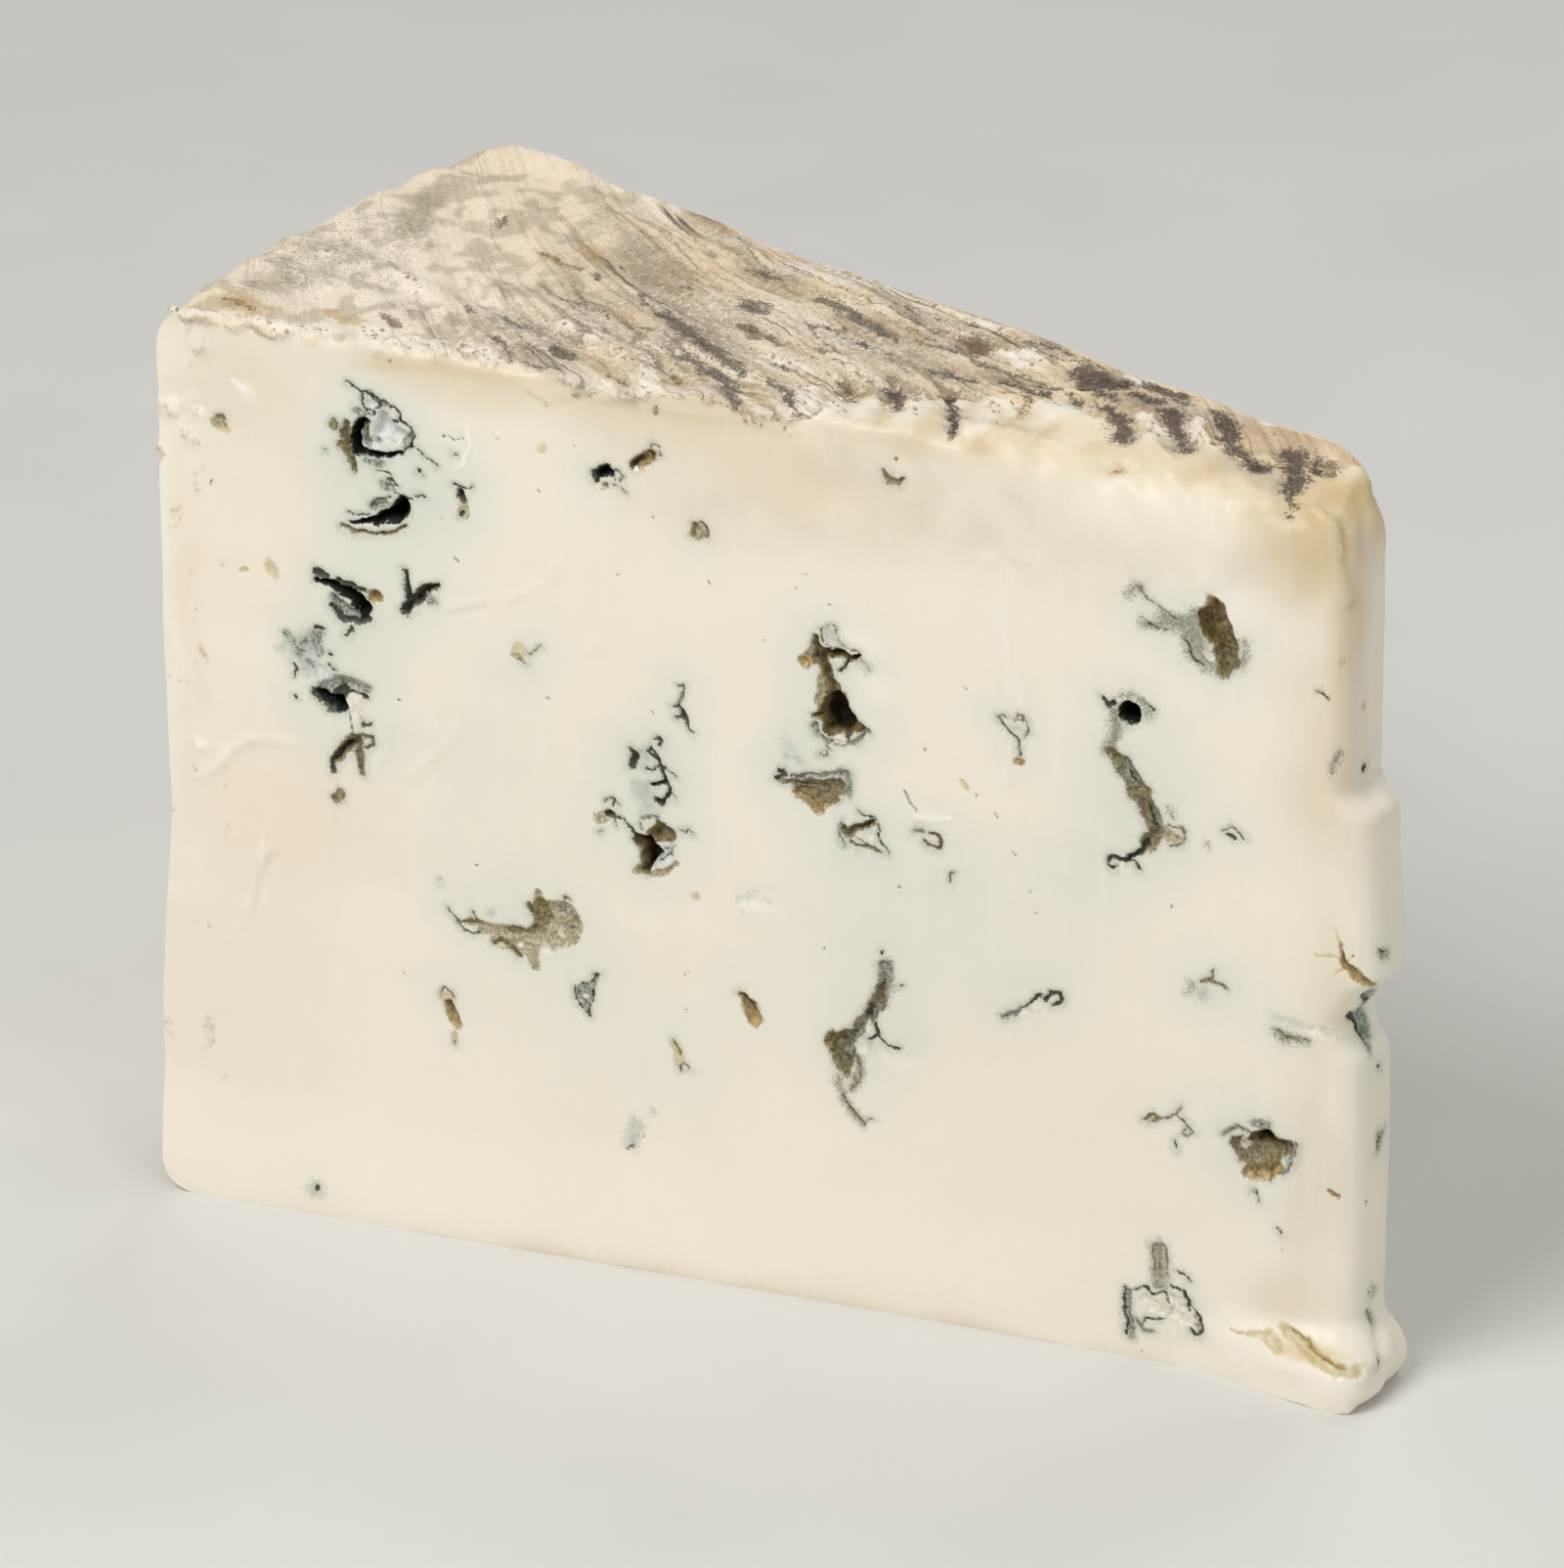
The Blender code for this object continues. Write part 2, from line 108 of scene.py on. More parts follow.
# Marks of the front cut.  Each is a chain of round spots joined up, given as its kind, the depth
# it is sunk to, the radius of its spots, and its spots: distance from the rim, height over the
# base and, where it differs, their own radius.
FRONT_MARKS = (
    # The big pocket under the rind.
    ("void", 3.5, 0.6, (21.9, 87.1, 0.4), (21.3, 86.2), (21.3, 85, 0.75), (21.6, 83.9, 0.6),
     (23.2, 84, 0.4), (24.8, 84, 0.35), (26, 84.6, 0.25)),
    ("down", 0.9, 0.9, (24.3, 88.1, 0.7), (24.5, 86.9, 1.3), (25.8, 86.3, 1)),
    ("down", 1, 0.7, (23.6, 85.4)), ("fuzz", 1.2, 0.45, (22.4, 87), (22.4, 85.6), (22.8, 84.9)),
    # The grey on the white lump's right side is partly mould and partly painted shade of that side.
    ("fuzz", 0.9, 0.4, (26.4, 85.6), (26.9, 86.4)),
    ("crust", 0.8, 0.14, (26.2, 84.7), (27.2, 85.5), (27.5, 86.4), (27.1, 87.2), (26.2, 87.8),
     (25.3, 87.5)), ("crust", 0.4, 0.12, (26.1, 88), (26, 88.7), (25.4, 89.1), (24.7, 89.2)),
    ("crust", 0.3, 0.1, (20.5, 91.2, 0.06), (21.6, 90.7), (22.4, 90.3, 0.16), (23.6, 90.1, 0.16),
     (24.6, 89.6)), ("down", 0.3, 0.5, (22.8, 89.4), (23.3, 89.3)),
    ("crust", 0.4, 0.12, (22, 90.3), (21.9, 89.4), (22.2, 88.8), (22.6, 88.5)),
    ("crust", 0.4, 0.12, (23, 90), (23.8, 89.6), (23.9, 88.9), (23.4, 88.7)),
    ("crust", 0.4, 0.12, (22.6, 88.6), (22.6, 88.1), (23.1, 87.9), (23.4, 88.3), (22.9, 88.7)),
    ("fuzz", 0.3, 0.5, (21.7, 88.3), (22, 87.9)), ("fuzz", 0.3, 0.4, (24.2, 89.6), (22.8, 90.2)),
    ("olive", 0.8, 0.5, (20.4, 87, 0.3), (20.1, 85.9), (20.2, 84.6), (20.7, 83.2), (21.1, 81.9, 0.3)),
    ("olive", 0.2, 0.55, (19.1, 86.6)), ("olive", 0.2, 0.4, (19.6, 84.5)),
    ("fuzz", 0.2, 0.35, (22.4, 83), (24, 83.2)),
    ("crust", 0.2, 0.09, (27.6, 85.3), (28.7, 84.6), (30, 83.6)), ("crust", 0.3, 0.12, (18, 83.6)),
    ("crust", 0.5, 0.24, (28, 82.8)), ("crust", 0.3, 0.11, (28.5, 82.3)),
    ("crust", 0.3, 0.1, (23.5, 82.5), (24.3, 82.2), (25, 81.8), (25.2, 81.2), (25.6, 80.9)),
    ("crust", 0.3, 0.1, (24.6, 81.3), (25.3, 81.2), (25.2, 80.7)),
    ("fuzz", 0.2, 0.4, (24.2, 80.9), (25, 80.7)), ("crust", 0.2, 0.12, (27.3, 80.3), (28.6, 80.1)),
    # The black crescent.
    ("void", 3.2, 0.6, (20.3, 76.2, 0.15), (22, 76.5, 0.32), (23.6, 76.9, 0.5), (25.2, 77.8, 0.9),
     (26.1, 78.7, 0.95), (26.2, 79.2, 0.75)), ("fuzz", 0.5, 0.5, (23, 78.3), (24.2, 78.8)),
    ("crust", 0.4, 0.12, (22.6, 78.3), (23.3, 79), (24, 79.3), (24.9, 79.6)),
    ("crust", 0.3, 0.1, (20.2, 77.2), (21.4, 77.1), (22.6, 77.3)),
    ("crust", 0.4, 0.12, (25.2, 80.1), (26.4, 80.1), (27.1, 79.7)),
    # The olive along the crescent's lower side is partly its wall's colour and partly painted shade along
    # it.
    ("olive", 0.4, 0.22, (19.4, 75.7), (21, 75.4), (23, 75.5), (24.8, 75.9), (26.4, 76.8)),
    # The slot and its brown bubble.
    ("fuzz", 0.9, 0.9, (18.6, 67.9, 0.6), (19.4, 67), (20.8, 66.3, 0.7)),
    ("void", 3.2, 0.8, (16.8, 69.6, 0.4), (18, 69.4, 0.5), (19.6, 69, 0.6), (20.9, 68.3),
     (21.6, 67.2, 1.1)), ("crust", 0.5, 0.34, (16.5, 70.4), (18, 70.2)),
    ("crust", 0.5, 0.3, (19.2, 69.9), (21.7, 69.2)),
    ("crust", 0.6, 0.3, (18.3, 67), (19.4, 65.9), (21, 65.6), (22.5, 66.3)),
    ("amber", 0.9, 0.9, (23.1, 68.8)), ("crust", 0.2, 0.2, (20.5, 65), (19.9, 64)),
    # The forked vein.
    ("crust", 1.4, 0.35, (26.3, 72, 0.25), (26.5, 70), (27, 68.8, 0.6)),
    ("crust", 1.4, 0.5, (30, 71.2, 0.25), (28.8, 70.6), (27.5, 69.3, 0.7), (26.3, 67.8, 0.6)),
    ("fuzz", 0.2, 0.5, (29.2, 69.3), (28.8, 69.9)),
    # Fuzzy tail down to the pit with a white tongue.
    ("crust", 0.3, 0.3, (16.6, 64.5), (17.2, 64.4)),
    ("veil", 0.2, 1.4, (16.2, 63), (15.2, 61.8, 1.8), (15.8, 60.4)),
    ("fuzz", 0.25, 0.6, (17, 64.4, 0.4), (16.4, 63, 0.7), (16.8, 62)),
    ("fuzz", 0.25, 0.5, (15.4, 62.8), (14.8, 61.6)), ("fuzz", 0.2, 0.35, (13.4, 63.2), (14.2, 62.4)),
    ("fuzz", 0.2, 0.3, (15.6, 60.6), (16.4, 60.2)), ("down", 0.3, 0.7, (17, 60), (17.6, 59.6)),
    ("veil", 0.1, 0.5, (13.4, 62), (12.8, 61.4)),
    ("crust", 0.2, 0.16, (14.2, 60.3), (14.5, 59.6), (14.2, 58.7, 0.1)),
    ("crust", 0.2, 0.08, (18, 60.6), (18.6, 60)), ("crust", 0.2, 0.25, (18.2, 61.9)),
    ("crust", 0.2, 0.25, (14.2, 56.5)),
    ("fuzz", 0.5, 0.8, (17.4, 58), (18.8, 58.8, 0.9), (20.4, 59, 0.7), (21.8, 58.6, 0.6)),
    ("void", 2.6, 0.8, (16.9, 57.6, 0.5), (17.8, 56.9), (19, 56.6, 0.9)),
    ("crust", 0.8, 0.8, (16.6, 57.5, 0.6), (18.2, 56.3), (19.4, 58)),
    ("crust", 0.7, 0.22, (20.2, 58.1), (22.1, 57.7)), ("curd", 0.1, 0.8, (20.7, 57.2), (21, 55.7)),
    ("crust", 0.3, 0.2, (21.3, 55.5), (21.5, 54.7), (22.2, 55)),
    ("olive", 0.1, 0.12, (20, 56), (20.6, 53.5)),
    ("olive", 1.3, 0.9, (20.6, 52.8), (19.3, 51.6, 0.6), (18.4, 50.4, 0.4)),
    ("olive", 0.5, 0.4, (20.9, 52.6), (21.2, 50.7), (21.3, 49.4, 0.25)),
    ("crust", 0.5, 0.3, (19.7, 52), (18.7, 51.2), (18.1, 50), (18.2, 49.2)),
    ("olive", 0.3, 0.2, (21.3, 53.5), (22.4, 53.6), (22.6, 52.8), (21.6, 52.3)),
    ("olive", 0.2, 0.5, (18.5, 46.4), (18.9, 46.9)),
    # Small marks between the left pockets and the middle.
    ("crust", 0.9, 0.42, (32.4, 81.5, 0.3), (32.4, 80.9), (32.6, 80.5, 0.35)),
    ("crust", 0.3, 0.1, (31.6, 82.1), (32.5, 82), (33, 81.8), (33.8, 82.2)),
    ("sponge", 0.2, 0.55, (32.7, 80), (32.7, 79.2)), ("crust", 0.4, 0.2, (32.4, 78.9), (32.5, 79.1)),
    ("crust", 0.15, 0.08, (30.5, 87), (31.8, 86.6), (32.8, 87.1)),
    ("olive", 0.2, 0.13, (31.6, 85.1), (32, 85.2)), ("sponge", 0.2, 0.45, (6, 84.7), (7.1, 84.6)),
    ("olive", 0.2, 0.18, (6.1, 85.2), (6.9, 85.5), (7.2, 85.1)),
    ("honey", 0.2, 0.5, (6.6, 84.2), (7.2, 84)), ("honey", 0.1, 0.55, (11.7, 70.5), (12.1, 69.5)),
    ("honey", 0.2, 0.25, (8.6, 69.2), (9.1, 69.4)),
    ("void", 1.6, 0.5, (46.7, 85.3, 0.35), (47.5, 85.6), (48.2, 85.7, 0.42)),
    ("crust", 0.7, 0.3, (46.5, 84.7), (46.4, 85.6), (48.1, 86.4)), ("sponge", 0.6, 0.45, (47.7, 84.4)),
    ("fleck", 0.5, 0.12, (47.6, 84.6)),
    ("olive", 0.3, 0.1, (48.7, 85.3), (48.8, 86), (49.3, 86.1), (49.6, 85.6), (49.2, 85.1)),
    ("olive", 0.2, 0.07, (48.6, 84.9), (49.9, 83.9)),
    ("amber", 0.9, 0.55, (50.9, 87.1), (51.8, 87.8), (52.6, 88.3)),
    ("crust", 0.8, 0.34, (50.7, 86.9), (51.2, 87.7)),
    ("crust", 0.4, 0.16, (51.8, 88.4), (52.3, 88.7), (52.5, 87.9)),
    ("olive", 0.2, 0.09, (52.4, 88.8), (52.6, 89.4), (53.2, 89.1), (53.4, 88.4)),
    ("fleck", 0.4, 0.16, (51, 86.6)), ("sponge", 0.4, 0.8, (57.4, 80.9)),
    ("olive", 0.4, 0.12, (56.8, 80.5), (57, 81.6), (57.7, 81.9), (58.3, 81.2), (58.2, 80.5), (57.2, 80.3)),
    ("olive", 0.3, 0.09, (57.2, 81.5), (57.6, 81), (57.5, 80.4)),
    ("sponge", 0.3, 0.25, (53, 93.1), (52.8, 92.5)), ("olive", 0.2, 0.12, (53.1, 93.3), (53.2, 92.8)),
    ("honey", 0.1, 0.9, (38.4, 65.5)), ("sponge", 0.2, 0.3, (37.7, 65), (38.7, 64.7)),
    ("olive", 0.2, 0.12, (38.6, 64.5), (39.2, 64.3)),
    ("olive", 0.2, 0.1, (39.4, 65.3), (39.9, 65.5), (40.6, 66.1)),
    ("olive", 0.4, 0.2, (76.5, 90.4), (76.9, 89.4, 0.34), (77.8, 89, 0.34), (78.6, 89.7, 0.2)),
    ("amber", 0.2, 0.2, (77.6, 91.4)), ("curd", 0.1, 0.3, (77.7, 90)), ("honey", 0.05, 0.5, (41, 87.2)),
    ("honey", 0.1, 0.45, (57, 42.1)), ("honey", 0.1, 0.3, (85, 59.2), (85.3, 58.6)),
    # Thin vein, and the twigs under it.
    ("olive", 0.3, 0.12, (55.2, 64.3), (55.7, 64.4), (55.5, 63.4)),
    ("crust", 0.9, 0.13, (55.5, 63.4), (55.3, 62.3), (55.6, 61.5, 0.22), (55.9, 60.7), (56.1, 60),
     (56.6, 59.7)), ("crust", 0.5, 0.16, (55.2, 62.3), (54.7, 61.9)),
    ("crust", 0.4, 0.14, (55.4, 61.3), (54.9, 60.9)), ("veil", 0.1, 1, (51.4, 56.2)),
    ("veil", 0.1, 1.2, (51.2, 52.4), (52, 51)),
    ("crust", 0.7, 0.42, (50, 56.8, 0.12), (50.5, 55.9), (50.1, 55, 0.34)),
    ("crust", 0.4, 0.12, (52.6, 58.2), (53, 58.5), (53.3, 58.1), (53.1, 57.6)),
    ("crust", 0.9, 0.2, (52.4, 57.3, 0.12), (52.9, 56.2), (53.4, 55), (53.8, 54), (54.1, 53.1),
     (53.7, 52), (53.4, 51.3, 0.3)), ("crust", 0.5, 0.18, (52.4, 57), (51.9, 56.5), (52.5, 56.2)),
    ("crust", 0.4, 0.12, (51.6, 55), (52.3, 55), (52.9, 55.4)),
    ("crust", 0.8, 0.24, (52.2, 53.1), (52.9, 53.5), (53.8, 53.7)),
    ("crust", 0.8, 0.28, (52.6, 51.7), (53.3, 51.5)),
    ("crust", 0.3, 0.07, (53.6, 55.3), (54.5, 54.9), (54.8, 54.4)),
    ("crust", 0.3, 0.07, (54.2, 52.8), (54.8, 52)), ("sponge", 0.2, 0.7, (47.1, 48.9)),
    ("crust", 1, 0.36, (47.6, 49.4), (48.1, 49.4)), ("crust", 0.5, 0.1, (48.4, 49.2), (48.5, 48.4)),
    ("fuzz", 0.3, 0.2, (47.4, 50.8), (48.1, 51.2), (48.5, 50.7)),
    ("crust", 0.3, 0.1, (48, 50.3), (48.4, 51)), ("olive", 0.2, 0.12, (46.7, 47.2), (46.9, 47.5)),
    ("crust", 0.4, 0.1, (48.5, 49.3), (49.3, 49.1), (49.8, 48.6), (50.3, 48, 0.16), (50.9, 47.3, 0.24)),
    # The deep three-cornered pocket.
    ("hollow", 2.8, 0.6, (50.9, 47.2, 0.5), (51.8, 46.8, 1), (52.4, 46.2, 1.1), (52, 45.2, 0.95),
     (51.7, 44.4, 0.65)), ("olive", 1.4, 0.6, (51, 43.9, 0.4), (51.6, 44)),
    ("hollow", 1.1, 0.8, (52.6, 48), (53.2, 48.5, 0.95), (54.3, 48.2, 0.6), (52.9, 49.4, 0.3)),
    ("sponge", 0.5, 0.4, (50.6, 43.7), (51, 44.3)),
    ("sponge", 0.3, 0.35, (52.4, 43.7), (54, 44.3), (54.9, 45.3)),
    ("down", 0.5, 0.34, (52.6, 44.5), (53.2, 45.3, 0.42), (54, 46.2, 0.5), (54.8, 47, 0.3)),
    ("crust", 0.4, 0.09, (53, 45.1), (53.6, 45.9), (54.3, 46.3)),
    ("crust", 0.3, 0.08, (53.5, 46.6), (53.9, 46.9), (54.4, 46.8)),
    ("fuzz", 0.3, 0.22, (51.3, 49.5), (52, 49.9), (52.9, 49.9)),
    ("fuzz", 0.2, 0.16, (51.1, 48.9), (51.3, 48.3)),
    ("crust", 0.2, 0.09, (55, 48.9), (55.8, 48.8), (56.2, 49.2), (56.6, 48.7)),
    # The tall pocket in the middle.
    ("sponge", 0.5, 0.4, (69.5, 71.6), (69.2, 70.4), (68.8, 69.4, 0.7)),
    ("amber", 0.6, 0.5, (68.2, 69.2), (68.5, 68.8)),
    ("olive", 1, 0.4, (69.6, 72, 0.3), (69.6, 71.1), (69.7, 70.2), (69.4, 69.4, 0.5)),
    ("hollow", 2.2, 0.42, (70.4, 70.3), (71.6, 70.4), (72.8, 70.4), (73.4, 70.2), (74, 70.6, 0.22)),
    ("hollow", 1.4, 0.16, (73, 70), (72.6, 69.2), (71.9, 68.5)),
    ("hollow", 1.2, 0.6, (70, 70.4), (70.4, 69.2), (70.8, 68)),
    ("sponge", 0.5, 0.4, (70.1, 67.8), (70.1, 66.2), (69.9, 64.8)),
    ("hollow", 1, 0.7, (70.9, 67.9, 0.5), (71.2, 66.9, 0.8), (71.6, 65.9, 1.1)),
    ("hollow", 3.6, 1.3, (71.6, 65), (71.5, 63.8, 1.8), (72, 63.1, 1.7)),
    ("hollow", 2, 0.4, (69.4, 63.4, 0.25), (70.4, 63.6, 0.6)),
    ("hollow", 2, 0.5, (72.8, 63.4, 0.9), (74.4, 62.6, 0.3)),
    ("hollow", 1.8, 0.5, (70.6, 62.2), (71, 61.8, 0.35)), ("curd", 0.3, 0.32, (71.6, 61.2), (72.3, 61.3)),
    ("fuzz", 0.4, 0.3, (69.4, 62.6), (69.6, 61.6), (70.6, 61), (72.2, 61), (73.8, 61.5), (74.9, 62.6)),
    ("olive", 0.2, 0.1, (69.9, 59.5), (70.2, 59.9), (70.8, 59.8), (70.6, 59.2), (69.9, 59.3)),
    ("fuzz", 0.2, 0.2, (70.6, 60.5), (71, 60.1)),
    ("veil", 0.2, 0.5, (70.7, 72.6), (71, 71.5), (72.4, 71.1)),
    ("olive", 0.3, 0.07, (70.2, 72.4), (70.3, 73), (71, 73.4), (71.6, 73), (71.5, 72.1), (72, 71.5),
     (73, 71.3), (74, 71)), ("olive", 0.3, 0.07, (70.3, 72.3), (70.4, 71.4), (71, 70.9), (72.2, 70.9)),
    ("veil", 0.2, 0.5, (73.8, 69.8), (74.7, 69.4)),
    ("olive", 0.2, 0.06, (74, 70.2), (74.8, 69.9), (75, 69.2)),
    ("veil", 0.1, 0.4, (66.2, 60.2), (67, 59.6)), ("veil", 0.1, 0.5, (66.6, 58.6), (68.2, 58.2)),
    # The brown triangle and its neighbour.
    ("olive", 1, 0.4, (65.5, 56.1, 0.15), (66.6, 56, 0.35), (68.4, 55.9, 0.75), (70.4, 55.9, 1),
     (71.8, 56.2, 1)), ("olive", 1, 0.7, (67.6, 55.4, 0.5), (69.6, 54.9, 1), (71.2, 55.2)),
    ("amber", 0.7, 0.5, (67.2, 55, 0.3), (69, 54.3, 0.7), (69.9, 53.4, 0.6)),
    ("amber", 0.7, 0.5, (70.4, 54.2), (71.4, 54.9, 0.3)),
    ("fuzz", 0.4, 0.24, (67.4, 56.6), (70, 57.2), (71.4, 57.6, 0.4), (72.8, 57.8, 0.4), (73, 56.4, 0.4),
     (73.1, 55.6, 0.2)), ("crust", 0.3, 0.08, (67, 56.6), (69.9, 57.4), (72.5, 58.3)),
    ("crust", 0.5, 0.22, (66, 57.1, 0.3), (66.5, 56.7), (65.4, 56.1)),
    ("olive", 0.9, 0.4, (72.5, 52), (73, 51.4), (73.6, 52), (74.4, 52.6), (75.3, 53)),
    ("crust", 0.4, 0.1, (74, 54), (74.7, 53.6), (75.4, 53.7), (75.9, 53.2), (76.3, 52.3), (76.4, 51.2),
     (77, 50.2)), ("curd", 0.2, 0.5, (74.5, 51.6), (75.5, 51.8)),
    ("fuzz", 0.3, 0.16, (72.2, 52.5), (72.2, 51.2), (72.5, 50.3)),
    ("olive", 0.4, 0.16, (73.2, 50.7), (73.9, 50.2), (74.8, 50.7), (75.6, 50.5), (76.3, 50.1)),
    ("olive", 0.3, 0.1, (74, 51.2), (74.8, 51.1)),
    ("olive", 0.4, 0.16, (80.9, 52), (81.6, 51.6), (82.3, 51.6), (82.6, 52.2), (82.5, 52.9), (81.9, 53.2),
     (81.4, 53.1)), ("fuzz", 0.2, 0.18, (79.9, 53.1), (80.7, 53)),
    ("fuzz", 0.1, 0.12, (78.8, 57), (79.5, 55.9), (80, 55.1)),
    ("olive", 0.2, 0.15, (83.7, 48.4), (83.7, 48.9), (84, 49.3)),
    ("olive", 0.2, 0.08, (88.2, 66.5), (89.9, 66.8), (91.4, 66.6), (91.7, 65.5), (90.8, 64.3)),
    ("olive", 0.4, 0.14, (88.3, 66.3), (89.7, 65.4), (90.7, 64.3), (90.7, 62.8, 0.08)),
    ("veil", 0.1, 0.4, (90.4, 65.7), (91, 65.4)),
    ("olive", 0.2, 0.1, (90.2, 66.5), (90.4, 67.2), (91.1, 67.1), (90.9, 66.4)),
    ("amber", 0.2, 0.4, (90.5, 62.3), (90.9, 62.2)),
    # The long diagonal vein, lower right of the middle.
    ("crust", 0.3, 0.2, (76.6, 39.4)), ("fuzz", 0.4, 0.8, (76.9, 38), (76.9, 36.6)),
    ("olive", 0.5, 0.34, (76.4, 38.3), (77.4, 37.6), (76.6, 36.2)),
    ("olive", 0.9, 0.75, (76.8, 36.6, 0.5), (76.4, 34.6), (75.7, 33), (74.9, 31.8), (73.8, 30.2)),
    ("olive", 1.3, 0.8, (73.4, 30), (72.2, 28.5, 1.4), (72.6, 26.8, 1), (73, 25.4, 0.4)),
    ("amber", 0.8, 0.5, (71.4, 29.6), (71.2, 28.4)),
    ("fuzz", 0.5, 0.4, (76, 33.8), (74.9, 31.8), (73.6, 29.6), (72.6, 27.6)),
    ("moss", 0.2, 0.5, (77.4, 37), (77, 35.4)), ("fuzz", 0.6, 0.25, (73.9, 30.8), (73.4, 29), (73.8, 27.4)),
    ("crust", 0.6, 0.2, (75.6, 33.6), (74.8, 32.2)), ("veil", 0.2, 0.5, (74.6, 30), (75.6, 28.8)),
    ("moss", 0.3, 0.3, (74.2, 27.6), (74.4, 26), (73.6, 24.2)),
    ("olive", 0.2, 0.09, (73.9, 27.8), (74.4, 26.2), (74, 24.8), (73.2, 24)),
    ("moss", 0.2, 0.35, (72, 25), (72.2, 23.6)),
    ("moss", 0.3, 0.25, (72.3, 23.2), (73.2, 21.8), (74.6, 20.5)),
    ("olive", 0.2, 0.1, (72.2, 23.2), (73.4, 21.6), (74.8, 20.4), (75.6, 21.1)),
    ("crust", 0.4, 0.2, (75.9, 31.5), (76.2, 30.3), (75.5, 29.8)),
    ("crust", 0.3, 0.16, (76.2, 30), (77.3, 29.4), (78.5, 29.4)),
    ("crust", 0.2, 0.14, (78.4, 36), (79, 36.2)), ("curd", 0.1, 0.5, (75.1, 31.2)),
    ("curd", 0.1, 0.5, (74.6, 28.7)), ("amber", 0.9, 0.8, (61.8, 32.2, 0.5), (62.8, 31.2), (63.2, 29.8)),
    ("crust", 0.4, 0.16, (61.6, 32.5), (63.4, 30.6)),
    ("fuzz", 0.4, 0.3, (89.3, 34.6), (90.4, 35.2), (91.2, 36)),
    ("crust", 0.3, 0.2, (91.4, 36.1), (93.1, 37.6)),
    ("crust", 0.3, 0.2, (93.6, 37.3), (94, 38.1), (95.1, 38.2), (95.3, 37.3), (94.4, 37)),
    ("curd", 0.1, 0.6, (91.4, 35.4), (92.8, 36.4)),
    # The sponge, lower left of the middle.
    ("crust", 0.3, 0.1, (30.2, 36), (31, 35.4), (31.6, 35)),
    ("olive", 0.4, 0.14, (31.4, 34.9), (31.9, 34.1), (33, 33.8), (33.8, 34.2)),
    ("olive", 0.4, 0.16, (31.5, 35), (32.6, 35.1), (33.8, 34.9)),
    ("olive", 0.3, 0.12, (33, 36), (33.2, 35.2)),
    ("sponge", 0.4, 0.35, (32.4, 35, 0.4), (34, 34.9, 0.6), (36, 34.5, 0.8), (38.2, 34.6, 0.8),
     (39.8, 34.6, 1.1), (41.6, 34.8, 1.2), (43.6, 35.4, 1)),
    ("sponge", 0.4, 0.4, (35.4, 33.5, 0.6), (37.4, 33.5, 0.8), (39.4, 33.2, 0.9), (39.7, 31.6, 0.6)),
    ("sponge", 0.3, 0.4, (38, 32.6)),
    ("sponge", 0.5, 1.5, (40.8, 37.4, 1.4), (42.6, 37.2, 1.9), (43.2, 36.8, 1.6)),
    ("sponge", 0.3, 0.4, (40.1, 39.6), (40, 38.6)),
    ("olive", 0.7, 0.7, (40.3, 38.3), (40.5, 37, 0.9), (40.2, 35.8, 0.6), (38.6, 35.1, 0.4),
     (36.6, 35, 0.3)), ("olive", 0.5, 0.28, (39.2, 38.2), (39.4, 37.2)),
    ("olive", 0.5, 0.26, (35.2, 33.2), (36, 33.8), (37.2, 33.1), (38, 32.3)),
    ("fuzz", 0.3, 0.25, (41.8, 38), (43.2, 37.9), (44.2, 37)), ("fuzz", 0.3, 0.2, (42.2, 36.6), (44, 36.2)),
    ("olive", 0.2, 0.09, (42.8, 38.9), (43, 39.5), (43.5, 39.3)), ("curd", 0.4, 0.4, (42.4, 35.4)),
    ("curd", 0.4, 0.32, (40.7, 33.5), (41.1, 33.6)), ("curd", 0.3, 0.28, (38, 33.4)),
    ("curd", 0.2, 0.25, (32.4, 34.5), (33.2, 34.4)), ("veil", 0.1, 0.5, (34.9, 36.2)),
    ("veil", 0.1, 0.5, (29.4, 38.8)),
    ("crust", 0.3, 0.14, (46.7, 31.9), (46.2, 31.6), (45.8, 31), (44.8, 30.6)),
    ("fuzz", 0.4, 0.8, (45.2, 30), (45.1, 28.8, 0.7), (45.5, 27.5, 0.3)),
    ("fuzz", 0.3, 0.3, (46.4, 31.6), (45.8, 30.6), (44.6, 30), (44.3, 28.9)),
    ("crust", 0.3, 0.1, (43.9, 30), (44, 28.6), (44.8, 27.8), (45.5, 26.9), (45.8, 28.4), (45.9, 30)),
    ("curd", 0.2, 0.3, (45, 29)), ("olive", 0.3, 0.1, (44.8, 28.4), (45.5, 28.3), (45.6, 29.4)),
    ("olive", 0.3, 0.1, (29.4, 26.3), (29.5, 27), (29.9, 27.3), (30.4, 27), (30.7, 26.2)),
    ("honey", 0.2, 0.5, (29.9, 26.5)),
    ("amber", 0.7, 0.6, (30.3, 25.6, 0.5), (30.7, 24.4, 0.7), (31.1, 23.5, 0.55)),
    ("olive", 0.7, 0.36, (30.3, 25.6), (30.6, 25)), ("honey", 0.2, 0.3, (30.8, 22.4), (30.8, 21.7)),
    ("olive", 0.2, 0.1, (30.8, 21.7), (30.8, 21.4)), ("honey", 0.2, 0.6, (54.8, 25.2), (55.2, 23.9)),
    ("olive", 0.3, 0.14, (54.6, 25.9), (54.9, 25.3), (55.1, 24.8, 0.28)),
    ("olive", 0.3, 0.1, (55.1, 23), (55.8, 23.5), (56.3, 23.1)),
    ("veil", 0.1, 0.9, (50, 13.8), (50.4, 15.8)), ("olive", 0.1, 0.12, (49.4, 12.9), (50, 13.4)),
    ("olive", 0.1, 0.1, (50.1, 13.9), (50.3, 13.2)), ("olive", 0.1, 0.1, (51.3, 14.6), (51.2, 15.1)),
    ("veil", 0.1, 0.4, (52.4, 17.5)),
